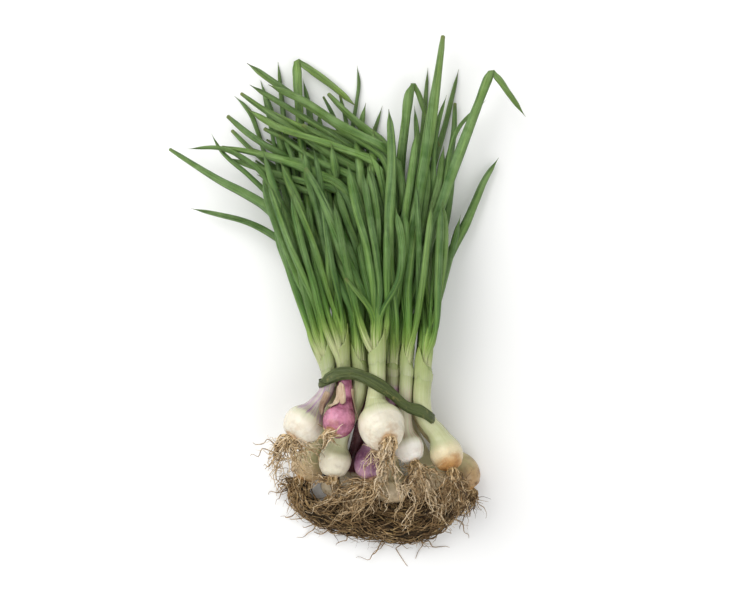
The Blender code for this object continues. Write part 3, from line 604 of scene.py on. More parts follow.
# further leaves of the bunch: onion, height of the tip, radius, share of it at the tip, route;
# a third value of 1 in the route marks a sharp fold
moreLeaves = [
    (2, 38, 2.6, 0.15, [(-8, 10), (-14, 50), (-18, 77), (-22, 97)]),
    (3, 50, 3.2, 0.85, [(14, -10), (8, -3), (0, 7)]),
    (8, 38, 3.0, 0.2, [(35, 0), (41, 32), (40, 56)]),
    (3, 40, 2.8, 0.2, [(31, -5), (38, 23), (34, 56)]),
    (13, 22, 2.6, 0.15, [(48, 20), (56, 70), (62, 115), (69, 136)]),
    (5, 16, 2.0, 0.15, [(60, 10), (68, 70), (79, 114), (98, 133)]),
    (13, 14, 2.8, 0.15, [(44, 30), (50, 80), (49, 108), (47, 129)]),
    (1, 24, 2.2, 0.15, [(-30, 20), (-45, 58), (-62, 84), (-87, 98), (-111, 98)]),
    (7, 22, 2.3, 0.12, [(-30, 20), (-44, 48), (-54, 64), (-68, 79), (-87, 97), (-94, 109)]),
    (6, 20, 2.7, 0.3, [(6, 20), (10, 50), (-2, 68, 1), (-33, 76), (-61, 84), (-84, 92)]),
    (9, 17, 2.6, 0.3, [(12, 20), (10, 48), (2, 62, 1), (-33, 72), (-54, 83), (-80, 95)]),
    (8, 17, 3.0, 0.4, [(26, 20), (30, 60), (22, 88, 1), (-10, 100), (-51, 115), (-69, 126)]),
    (9, 23, 3.4, 0.4, [(28, 20), (30, 70), (26, 94, 1), (-4, 113), (-30, 131), (-54, 142)]),
    (6, 18, 3.2, 0.5, [(10, 20), (16, 50), (12, 72, 1), (-16, 85), (-47, 107)]),
    (9, 14, 3.2, 0.6, [(14, 20), (20, 56), (12, 78, 1), (-16, 92)]),
    (10, 12, 3.4, 0.5, [(16, 30), (8, 80), (-4, 114), (-13, 136)]),
    (7, 6, 2.4, 0.12, [(-30, 40), (-42, 100), (-49, 161)]),
    (10, 8, 3.0, 0.15, [(-18, 40), (-24, 100), (-27, 129), (-31, 149)]),
    (11, 8, 3.0, 0.3, [(12, 40), (8, 90), (10, 119), (13, 132)]),
    (10, 9, 3.0, 0.6, [(6, 40), (4, 90), (1, 112), (-4, 138)]),
    (11, 7, 3.0, 0.2, [(16, 40), (16, 90), (20, 118)]),
    (1, 12, 3.4, 0.2, [(-34, 10), (-43, 40), (-52, 66), (-58, 88)]),
    (2, 24, 3.2, 0.3, [(-26, 20), (-34, 60), (-44, 94)]),
    (6, 26, 3.4, 0.3, [(-12, 20), (-20, 60), (-28, 98)]),
    (9, 26, 3.4, 0.3, [(0, 20), (-4, 60), (-10, 102)]),
    (3, 24, 3.4, 0.3, [(14, 20), (12, 60), (6, 108)]),
    (8, 22, 3.4, 0.3, [(22, 20), (22, 70), (20, 114)]),
    (4, 24, 3.2, 0.3, [(38, 20), (44, 70), (49, 110)]),
    (5, 18, 3.2, 0.3, [(52, 20), (60, 60), (67, 100)]),
    (12, 14, 3.0, 0.3, [(56, 20), (66, 56), (72, 84)]),
    (13, 26, 3.0, 0.3, [(42, 10), (50, 50), (55, 92)]),
    (1, 32, 3.0, 0.25, [(-21, -16), (-31, 4), (-42, 28), (-51, 52), (-58, 76)]),
    (7, 14, 3.0, 0.3, [(-20, -18), (-31, 2), (-43, 30), (-52, 60)]),
    (1, 42, 2.8, 0.15, [(-20, -14), (-27, 4), (-37, 28), (-46, 52), (-54, 76)]),
    (2, 46, 2.6, 0.15, [(-9, -14), (-16, 10), (-26, 40), (-38, 70)]),
    (6, 34, 2.8, 0.2, [(8, -18), (6, 10), (0, 40), (-8, 72)]),
    (5, 34, 2.8, 0.2, [(59, -20), (64, 2), (67, 30), (66, 62)]),
    (12, 12, 2.6, 0.15, [(58, -26), (65, -2), (72, 22), (80, 52)]),
    (4, 40, 2.6, 0.15, [(48, -20), (50, 10), (50, 40), (48, 74)]),
    (9, 12, 3.2, 0.5, [(20, 20), (26, 60), (20, 84, 1), (-20, 104), (-46, 119), (-66, 131)]),
    (8, 10, 3.2, 0.5, [(26, 20), (30, 70), (24, 96, 1), (-16, 111), (-44, 128)]),
    (10, 9, 3.2, 0.5, [(8, 20), (10, 50), (2, 74, 1), (-30, 86), (-58, 104)]),
    (6, 10, 3.2, 0.5, [(6, 20), (4, 50), (-6, 68, 1), (-36, 74), (-62, 92)]),
    (9, 7, 3.0, 0.5, [(18, 20), (22, 60), (14, 82, 1), (-12, 94), (-38, 107)]),
    (7, 6, 3.4, 0.12, [(-28, 40), (-42, 95), (-52, 122), (-61, 148)]),
    (10, 7, 3.2, 0.2, [(-10, 40), (-16, 84), (-20, 128)]),
    (1, 26, 3.2, 0.15, [(-21, -42), (-26, -24), (-32, -5), (-38, 14), (-44, 34), (-50, 54), (-55, 74)]),
    (1, 40, 3.0, 0.15, [(-16, -43), (-20, -26), (-25, -8), (-31, 14), (-38, 36), (-45, 62)]),
    (2, 44, 2.8, 0.15, [(-9, -40), (-15, -26), (-19, -13), (-25, 8), (-32, 36), (-38, 66)]),
    (2, 42, 2.8, 0.15, [(-4, -38), (-9, -25), (-13, -12), (-18, 6), (-23, 34), (-27, 62)]),
    (3, 46, 2.8, 0.15, [(15, -40), (11, -26), (7, -13), (3, 6), (-3, 32), (-9, 60)]),
    (3, 44, 2.6, 0.15, [(24, -40), (26, -24), (27, -8), (28, 16), (28, 48)]),
    (8, 38, 2.8, 0.15, [(34, -42), (37, -26), (39, -13), (41, 8), (42, 40)]),
    (4, 40, 2.8, 0.15, [(41, -48), (45, -30), (48, -13), (52, 6), (56, 34), (59, 60)]),
    (5, 36, 3.0, 0.15, [(59, -38), (61.5, -20), (62.5, 0), (64, 28), (66, 60)]),
    (6, 36, 2.6, 0.15, [(3, -40), (0, -26), (-4, -12), (-8, 8), (-12, 40)]),
    (3, 46, 3.2, 0.15, [(19.6, -8), (17, 12), (14, 30), (8, 52), (1, 86)]),
    (3, 44, 3.0, 0.15, [(24, -8), (22, 12), (20, 30), (16, 54), (11.5, 82)]),
    (8, 44, 3.0, 0.15, [(30, -8), (28.5, 14), (26, 38), (21, 62), (15, 86)]),
    (3, 40, 3.7, 0.9, [(12.6, -8), (8, 6), (0.5, 20), (-10, 46), (-19, 68), (-27, 82)]),
    (10, 14, 3.2, 0.9, [(4, 30), (-4, 70), (-16, 98, 1), (-34, 108), (-52, 117)]),
    (6, 13, 3.2, 0.9, [(-4, 30), (-12, 62), (-20, 82, 1), (-44, 92), (-66, 100)]),
    (9, 12, 3.2, 0.9, [(18, 20), (24, 52), (20, 74, 1), (-6, 86), (-34, 100), (-58, 112)]),
    (6, 9, 3.2, 0.4, [(-2, 20), (-2, 46), (-8, 60, 1), (-32, 69), (-62, 82)]),
    (8, 15, 3.2, 0.9, [(24, 20), (30, 58), (26, 82, 1), (0, 98), (-30, 114)]),
    (10, 8, 3.2, 0.4, [(4, 20), (4, 48), (-4, 64, 1), (-30, 77), (-56, 94)]),
    (9, 9, 3.2, 0.9, [(10, 20), (12, 52), (6, 72, 1), (-20, 85), (-46, 102)]),
]
foldLook = {"radius": 3.2, "cut": 6.5, "step": 0.5}


def foldedPath(points, kinks):
    # smooth stretches that meet in tight round folds
    whole = None
    step, stops = foldLook["step"], [0] + kinks + [len(points) - 1]
    for first, last in zip(stops, stops[1:]):
        stretch = smoothPath(points[first:last + 1], step)
        if whole is None:
            whole = stretch
            continue
        arriving, leaving = unit(whole[-1] - whole[-10]), unit(stretch[9] - stretch[0])
        turn = math.acos(np.clip(arriving @ leaving, -1.0, 1.0))
        cut = max(foldLook["cut"], foldLook["radius"] * math.tan(turn / 2))
        reach = 4 / 3 * math.tan(turn / 4) * cut / math.tan(turn / 2)
        trim = int(cut / step)
        start, end = whole[-trim], stretch[trim]
        u = np.linspace(0.0, 1.0, 30)[:, None]
        fold = ((1 - u) ** 3 * start + 3 * u * (1 - u) ** 2 * (start + arriving * reach)
                + 3 * u ** 2 * (1 - u) * (end - leaving * reach) + u ** 3 * end)
        whole = np.vstack([whole[:-trim], fold, stretch[trim + 1:]])
    return whole


def moreLeafStrand(order, onion, layer, radius, tip, route):
    centres = bulbs[onion][0]
    end, forward = centres[-1], unit(centres[-1] - centres[-3])
    turn = 2.4 * order
    side = unit(np.cross(forward, [0.0, 0.0, 1.0]))
    early = route[0][1] < end[1] + 4.0
    if early:
        # this leaf parts from its shaft below the others
        end = centres[-1] - forward * (end[1] - route[0][1] + 8.0)
    start = end + ((side * math.cos(turn) + np.cross(side, forward) * abs(math.sin(turn)))
                   * (3.0 if early else 2.2))
    line = [start, start + forward * 12.0]
    kinks = [i + 2 for i, point in enumerate(route) if len(point) == 3]
    flat = np.array([point[:2] for point in route], float)
    gone = arcLengths(np.vstack([start[:2], flat]))
    for point, far in zip(flat, gone[1:] / gone[-1]):
        line.append(np.array([point[0], point[1], start[2] + (layer - start[2]) * far ** 0.8]))
    if early or np.linalg.norm(line[2] - line[0]) < 16.0:
        line.pop(1)
        kinks = [k - 1 for k in kinks]
    path = smoothPath(foldedPath(line, kinks), 3.0)
    along = arcLengths(path)
    t = along / along[-1]
    base = 0.62 + 0.38 * smoothStep(along / 70.0)
    fall = np.clip((t - 0.45) / 0.55, 0.0, 1.0) ** (3.4 if tip < 0.5 else 3.0)
    return path, radius * base * (1 - (1 - tip) * fall)


settleLook = {"rounds": 150, "lookAgain": 10, "spacing": 3.0, "free": 22.0, "around": 6.0, "clear": 0.3,
              "ways": (0.45, 0.25, 1.0), "backHome": 0.985}


def settle(fixed, loose):
    # the loose strands give way to the fixed ones and to each other, mostly up and down
    look = settleLook
    stillPaths = [smoothPath(s[0], look["spacing"]) for s in fixed]
    still = np.vstack(stillPaths)
    stillRadii = np.concatenate([alongPath(s[0], s[1], path) for s, path in zip(fixed, stillPaths)])
    counts = [len(s[0]) for s in loose]
    starts = np.cumsum([0] + counts)
    spots, radii = np.vstack([s[0] for s in loose]), np.concatenate([s[1] for s in loose])
    home = spots.copy()
    owner = np.repeat(np.arange(len(loose)), counts)
    early = np.concatenate([arcLengths(s[0]) for s in loose]) < look["free"]
    for turn in range(look["rounds"]):
        if turn % look["lookAgain"] == 0:
            every = np.vstack([spots, still])
            everyRadii = np.concatenate([radii, stillRadii])
            apart = np.linalg.norm(spots[:, None] - every[None], axis=2)
            near = apart < radii[:, None] + everyRadii[None] + look["around"]
            near[:, :len(spots)] &= owner[:, None] != owner[None]
            near[early] = False
            i, j = np.nonzero(near)
        every = np.vstack([spots, still])
        between = spots[i] - every[j]
        apart = np.linalg.norm(between, axis=1) + 1e-6
        short = radii[i] + everyRadii[j] + look["clear"] - apart
        way = between / apart[:, None] * np.array(look["ways"])
        way /= np.linalg.norm(way, axis=1)[:, None] + 1e-9
        hit = short > 0
        push, count = np.zeros_like(spots), np.zeros(len(spots))
        np.add.at(push, i[hit], (way * (np.where(j < len(spots), 0.5, 0.9) * short)[:, None])[hit])
        np.add.at(count, i[hit], 1.0)
        given = spots + push / np.maximum(count, 1.0)[:, None] ** 0.6 - home
        given[:, :2] *= look["backHome"]
        for k in range(len(loose)):
            part = slice(starts[k], starts[k + 1])
            moved = given[part]
            for _ in range(3):
                ends = np.vstack([moved[:1], moved, moved[-1:]])
                moved = 0.5 * moved + 0.25 * (ends[:-2] + ends[2:])
            hold = np.clip(1.0 - np.arange(len(moved)) / 4.0, 0.0, 1.0)[:, None]
            given[part] = moved * (1 - hold)
        spots = home + given
        spots[:, 2] = np.maximum(spots[:, 2], radii)
    return [(spots[starts[k]:starts[k + 1]], radii[starts[k]:starts[k + 1]]) for k in range(len(loose))]


looseLeaves = [moreLeafStrand(order, *row) for order, row in enumerate(moreLeaves)]
looseLeaves = settle(list(bulbs.values()) + list(leaves.values()), looseLeaves)
print("further leaves settled:", len(looseLeaves))


# leaves
bladeLook = {"sides": 14, "spacing": 1.7, "inShaft": 26.0, "shaftShare": 0.52,
             "slim": 0.92, "tightTurn": 0.036, "foldTurn": 0.62, "plainFoot": 62.0, "foldLength": 13.0,
             "foldThin": 0.14}


def leafLine(number, centres, radii):
    # the leaf's line carried back into its shaft, so that it comes out between its brothers
    shaft, shaftRadii = bulbs[number]
    path = smoothPath(centres, bladeLook["spacing"])
    reach = alongPath(centres, radii, path)
    back = smoothPath(shaft, bladeLook["spacing"])[::-1]
    back = back[arcLengths(back) < bladeLook["inShaft"]]
    offset = (path[0] - back[0]) * np.linspace(0.9, 0.55, len(back))[:, None]
    inner = (back + offset)[1:][::-1]
    own = np.concatenate([np.full(len(inner), reach[0]), reach])
    path = np.vstack([inner, path])
    top = np.argmax((path - shaft[-1]) @ unit(shaft[-1] - shaft[-3]) > 0)
    fromBase = arcLengths(path) - arcLengths(path)[top]
    loosen = 0.5 * (1 - smoothStep((fromBase - 22.0) / 28.0))[1:-1, None]
    for _ in range(60):
        path[1:-1] += loosen * (0.5 * (path[2:] + path[:-2]) - path[1:-1])
    wide = bladeLook["shaftShare"] * shaftRadii[-1]
    own = np.maximum(own * bladeLook["slim"], wide * (1 - smoothStep((fromBase + 10.0) / 34.0)))
    return path, own, fromBase


def foldedParts(path):
    # a leaf's line split at its sharp folds, with the crease's way and the fold's square way
    spacing = bladeLook["spacing"]
    ways = np.diff(path, axis=0)
    ways /= np.linalg.norm(ways, axis=1)[:, None]
    turns = np.arccos(np.clip((ways[1:] * ways[:-1]).sum(axis=1), -1.0, 1.0))
    parts, creases, start = [], [], path[:1]
    last = 0
    k = int(bladeLook["plainFoot"] / spacing)
    while k < len(turns):
        first = k
        while k < len(turns) and turns[k] > bladeLook["tightTurn"] * spacing:
            k += 1
        if turns[first:k].sum() > bladeLook["foldTurn"]:
            before, after = ways[first], ways[min(k, len(ways) - 1)]
            gap = path[min(k + 1, len(path) - 1)] - path[first]
            share = before @ after
            ahead = (gap @ before - share * (gap @ after)) / (1 - share * share)
            behind = (share * (gap @ before) - gap @ after) / (1 - share * share)
            corner = 0.5 * (path[first] + before * ahead + path[k + 1] + after * behind)
            # a fold right back on itself stays near the line's own end
            middle = path[(first + k + 1) // 2]
            corner = middle + (corner - middle) * np.clip((2.9 - math.acos(share)) / 0.8, 0.15, 1.0)
            if 0 < ahead < 45 and -45 < behind < 0:
                parts.append(smoothPath(np.vstack([start, path[last + 1:first + 1], corner]), spacing))
                crease = unit(before + after)
                creases.append((crease, unit(np.cross(before, crease))))
                start, last = corner[None], k
        k += 1
    parts.append(smoothPath(np.vstack([start, path[last + 1:]]), spacing))
    return parts, creases


def addLeaf(shape, number, centres, radii, blunt, seed, hue, width=1.0):
    look = bladeLook
    rolls = np.random.RandomState(seed)
    plain, plainReach, plainBase = leafLine(number, centres, radii)
    plainReach = plainReach * (1 - (1 - width) * smoothStep(plainBase / 40.0))
    parts, creases = foldedParts(plain)
    lengths = [arcLengths(part) for part in parts]
    whole = sum(part[-1] for part in lengths)
    side, done, rows = None, 0.0, []
    for k, (part, gone) in enumerate(zip(parts, lengths)):
        ways, sides, rises = carriedFrames(part, side)
        toEnd = gone[-1] - gone
        nearEnd = np.clip(1 - toEnd / look["foldLength"], 0, 1) * (k < len(creases))
        nearStart = np.clip(1 - gone / look["foldLength"], 0, 1) * (k > 0)
        for row in range(len(part)):
            crease = (creases[k] if nearEnd[row] >= nearStart[row] and k < len(creases)
                      else creases[k - 1] if k else None)
            rows.append((part[row], ways[row], sides[row], rises[row], done + gone[row],
                         max(nearEnd[row], nearStart[row]), nearStart[row], crease))
        done += gone[-1]
        if k < len(creases):
            side = 2 * (sides[-1] @ creases[k][0]) * creases[k][0] - sides[-1]
    path, ways, sides, rises = (np.array([row[k] for row in rows]) for k in range(4))
    along, near, after = (np.array([row[k] for row in rows]) for k in (4, 5, 6))
    count, spacing, places = len(path), look["spacing"], look["sides"]
    fromBase = along * (plainBase[-1] - plainBase[0]) / whole + plainBase[0]
    reach = np.interp(fromBase, plainBase, plainReach)
    toTip = fromBase[-1] - fromBase
    t = np.clip(fromBase / fromBase[-1], 0, 1)
    if blunt:
        reach = (reach * (1 - 0.42 * smoothStep(1 - toTip / min(75.0, 0.5 * toTip[0])))
                 * (1 - 0.22 * smoothStep(1 - toTip / 9.0)))
    else:
        reach = reach * (1 - 0.25 * np.clip((t - 0.25) / 0.75, 0, 1) ** 1.2)
        reach = np.minimum(reach * (1 + 0.6 * smoothStep(1 - toTip / 50.0)), 0.82 * plainReach.max())
        reach = reach * (1 - 0.86 * smoothStep(1 - toTip / 12.0) ** 1.3)
    wander = slowNoise(count, spacing, 40.0, rolls) * 0.22 * smoothStep(fromBase / 30.0) * (1 - near)
    path = path + sides * wander[:, None]
    flat = 0.04 + 0.05 * slowNoise(count, spacing, 55.0, rolls)
    roll = 0.8 * slowNoise(count, spacing, 110.0, rolls)
    dents = np.zeros(count)
    for _ in range(max(1, int(count * spacing / 80.0))):
        spot, size = rolls.uniform(40.0, max(41.0, fromBase[-1] - 15.0)), rolls.uniform(5.0, 12.0)
        dents += rolls.uniform(0.05, 0.20) * np.exp(-((fromBase - spot) / size) ** 2)
    across = reach * (1 + flat + 0.3 * dents)
    thick = reach * (1 - flat - dents)
    angles = fullCircle(places)
    first = turnedWay(sides, rises, roll)
    second = rises * np.cos(roll)[:, None] - sides * np.sin(roll)[:, None]
    offsets = (np.cos(angles)[None, :, None] * (first * across[:, None])[:, None]
               + np.sin(angles)[None, :, None] * (second * thick[:, None])[:, None])
    keel = 1 + 0.05 * np.cos(3 * angles[None] + 2 * roll[:, None])
    offsets *= keel[..., None]
    for row in np.nonzero(near > 0)[0]:
        # towards a fold the leaf goes flat, its end slants along the crease, and it turns over
        crease, square = rows[row][7]
        way, share = ways[row], smoothStep(near[row])
        level = unit(crease - way * (crease @ way))
        normal = np.cross(way, level)
        flatter, thinner = 1 + 0.32 * share, 1 - (1 - look["foldThin"]) * share
        slant = (crease @ way) / (crease @ level) * max(0.0, 1 - (1 - near[row]) * look["foldLength"] / 8.0)
        wide, high = offsets[row] @ level, offsets[row] @ normal
        offsets[row] = (wide[:, None] * flatter * (level + way * slant) + high[:, None] * thinner * normal)
        if after[row] > 0:
            under = square if square[2] < 0 else -square
            path[row] += under * 2.6 * look["foldThin"] * reach[row] * share
    rings = path[:, None] + offsets
    along = np.repeat(fromBase[:, None], places, axis=1)
    tipWay = np.repeat(toTip[:, None], places, axis=1)
    end, way = path[-1], ways[-1]
    ahead, closing = (0.7 * reach[-1], [(0.84, 0.4), (0.5, 0.8)]) if blunt else (0.5, [])
    ringRows = [np.repeat(path[:1, None], places, axis=1), rings]
    for share, on in closing + [(0.0, 1.0)]:
        ringRows.append((end + (rings[-1] - end) * share + way * on * ahead)[None])
    ringRows = np.vstack(ringRows)
    along, tipWay = (np.pad(rows, ((1, len(closing) + 1), (0, 0)), "edge") for rows in (along, tipWay))
    ringRows[..., 2] = np.maximum(ringRows[..., 2], 0.02)
    life = np.stack([along, tipWay, np.full(along.shape, hue)], axis=2)
    wrapGrid(shape, ringRows, aroundStrand(angles, along + 17.0 * seed), life)


# sheaths: the pale sleeve round the foot of the leaves, with its pointed lip
sheathLook = {"sides": 28, "below": 12.0, "cut": 15.0, "lip": -6.0, "point": 16.0, "clear": 0.40,
              "wall": 0.35, "beyond": 14.0}


def addSheath(shape, number):
    look = sheathLook
    rolls = np.random.RandomState(500 + number)
    centres, radii = bulbs[number]
    forward = unit(centres[-1] - centres[-3])
    line = smoothPath(np.vstack([centres, centres[-1] + forward * look["beyond"]]), 1.0)
    along = arcLengths(line)
    end = along[-1] - look["beyond"] - look["cut"]
    _, sides, rises = carriedFrames(line)
    places = look["sides"]
    angles = fullCircle(places)
    notch = (rolls.uniform(0.1, 0.9) - (1.0 if rolls.uniform() < 0.7 else 0.0)) * math.pi
    turned = np.abs((angles - notch + math.pi) % (2 * math.pi) - math.pi) / math.pi
    lip = end + look["lip"] + rolls.uniform(-2.5, 3.5) + 5.0 * turned + look["point"] * turned ** 4
    lip += 0.5 * np.cos(9 * angles + number)
    bottom = end - look["below"]
    rows, heights = [], []

    def addSleeve(share, extra):
        at = bottom + (lip - bottom) * share
        spots, side, rise = (np.stack([np.interp(at, along, part[:, k]) for k in range(3)], axis=1)
                             for part in (line, sides, rises))
        reach = radii[-1] + extra + 0.35 * smoothStep((at - end + 8) / 12.0)
        ridge = 1 + 0.02 * np.cos(5 * angles + number)
        rows.append(spots + turnedWay(side, rise, angles) * (reach * ridge)[:, None])
        heights.append(at)
    for share in np.linspace(0.0, 1.0, 15):
        addSleeve(share, look["clear"] * smoothStep(2 * share) - 0.25 * (1 - smoothStep(3 * share)))
    for share in np.linspace(0.996, 0.0, 10):
        addSleeve(share, look["clear"] * smoothStep(2 * share) - look["wall"])
    rows, heights = np.array(rows + rows[:1]), np.array(heights + heights[:1])
    purple = onionLooks[number]["neckPurple"] * smoothStep((end - heights - 15.0) / 9.0)
    life = np.stack([np.full(heights.shape, 2.6), purple, end - heights + 8.0], axis=2)
    wrapGrid(shape, rows, aroundStrand(angles, heights + 60.0 * number), life)


# bulbs with their shafts
bulbLook = {"sides": 40, "fine": 0.9, "coarse": 2.2, "bottom": 0.45, "plate": 0.23, "plateSides": 18,
            "plateEdge": 0.6}


def addBulb(shape, number):
    look, places = onionLooks[number], bulbLook["sides"]
    centres, radii = bulbs[number]
    rolls = np.random.RandomState(900 + number)
    along = arcLengths(centres)
    half = along[np.argmax(radii)]
    length = along[-1]
    roundPart = np.arange(0.0, 2.6 * half, bulbLook["fine"])
    length -= sheathLook["cut"] - 2.0
    coarse = np.linspace(roundPart[-1], length, int((length - roundPart[-1]) / bulbLook["coarse"]) + 2)[1:]
    at = np.concatenate([[0.0, 0.15, 0.45], roundPart[1:], coarse])
    path = smoothValues(along, centres, at)
    reach = smoothValues(along, radii, at)[:, 0]
    low = bulbLook["bottom"] * half
    bottom = at < low
    wide = np.interp(low, at, reach)
    t = at[bottom] / low
    reach[bottom] = np.maximum(wide * (1 - (1 - t) ** 2) ** 0.5, 0.0)
    reach *= 1 - 0.5 * smoothStep((at - length + 6.0) / 6.0)
    _, sides, rises = carriedFrames(path)
    angles = fullCircle(places)
    girth = np.exp(-((at / half - 1.0) / 0.9) ** 2)[:, None]
    uneven = 1 + girth * (0.030 * np.cos(2 * angles + rolls.uniform(0, 6))
                          + 0.014 * np.cos(3 * angles + rolls.uniform(0, 6)))
    ribs = 1 + 0.010 * np.cos(9 * angles + rolls.uniform(0, 6)) * smoothStep((at / half - 1.2) / 0.8)[:, None]
    out = ringWays(sides, rises, angles)
    rows = path[:, None] + out * (reach[:, None] * uneven * ribs)[..., None]
    rows[..., 2] = np.where(rows[..., 2] < 0.05, 0.0, rows[..., 2])
    height = np.repeat((at / half)[:, None], places, axis=1)
    way = unit(np.array(look["way"], float))
    facing = (out @ way) * np.clip(reach / reach.max(), 0, 1)[:, None]
    purple = look["purple"] * smoothStep((facing - look["reach"]) / 0.5 + 0.5)
    neck = smoothStep((height - 1.5) / 0.6) * look["neckPurple"]
    fade = smoothStep((length - at - 15.0) / 9.0)[:, None]
    purple = np.maximum(purple, neck) * fade
    top = np.repeat((length - at)[:, None], places, axis=1)
    cap = np.repeat(path[-1:, None], places, axis=1)
    strand = aroundStrand(angles, at + 60.0 * number)
    life = np.stack([height, purple, top], axis=2)
    wrapGrid(shape, np.vstack([rows, cap]), np.vstack([strand, strand[-1:]]), np.vstack([life, life[-1:]]))


def plateFrame(number):
    # where an onion's root plate is, the way it faces, two ways across it, and its radius
    centres, radii = bulbs[number]
    out = unit(centres[0] - centres[1])
    side = unit(np.cross(out, [0.0, 0.0, 1.0]))
    return centres[0], out, side, np.cross(side, out), bulbLook["plate"] * radii.max()


def addRootPlate(shape, number):
    # the rough brown disc that the roots grow from
    middle, way, side, rise, wide = plateFrame(number)
    rolls = np.random.RandomState(300 + number)
    places = bulbLook["plateSides"]
    angles = fullCircle(places)
    rows, heights = [], []
    for share, lift in ((0.0, -1.6), (0.9, -1.6), (1.06, -0.4), (1.0, 0.4),
                        (0.8, 0.9), (0.5, 0.8), (0.2, 0.5), (0.0, 0.4)):
        rough = rolls.uniform(-0.3, 0.3, places) * min(share * 3, 1.0)
        spread = (wide + bulbLook["plateEdge"]) * share * (1 + 0.5 * rough * (share > 0))
        rows.append(middle + way * (lift + rough)[:, None] + side * (np.cos(angles) * spread)[:, None]
                    + rise * (np.sin(angles) * spread)[:, None])
        heights.append(np.full(places, 0.01))
    rows, heights = np.array(rows), np.array(heights)
    rows[..., 2] = np.maximum(rows[..., 2], 0.02)
    life = np.stack([heights, heights * 0, heights * 0 + 60.0], axis=2)
    wrapGrid(shape, rows, aroundStrand(angles, heights), life)


for number in bulbs:
    shape = newShape()
    addBulb(shape, number)
    addSheath(shape, number)
    addRootPlate(shape, number)
    finishPiece(f"onion_{number:02d}_bulb_skin", shape, [onionMaterials[number]],
                [f"onion_{number:02d}_bulb"])
print("bulbs made")

leafTurns = np.random.RandomState(11)
leafWidths = {"onion_13_leaf_1": 0.74, "onion_03_leaf_3": 0.8}
for number in bulbs:
    shape = newShape()
    own = [name for name in leaves if name.startswith(f"onion_{number:02d}_")]
    for name in own:
        centres, radii = leaves[name]
        blunt = radii[-1] > 0.5 * radii.max()
        addLeaf(shape, number, centres, radii, blunt, 100 * number + int(name[-1]), leafTurns.uniform(),
                leafWidths.get(name, 1.0))
    for order, row in enumerate(moreLeaves):
        if row[0] == number:
            centres, radii = looseLeaves[order]
            hue = 1.0 if order == 1 else leafTurns.uniform()
            addLeaf(shape, number, centres, radii, row[3] > 0.4, 2000 + order, hue, 1.1)
    finishPiece(f"onion_{number:02d}_leaves", shape, [leafMaterial], own)
print("leaves made")


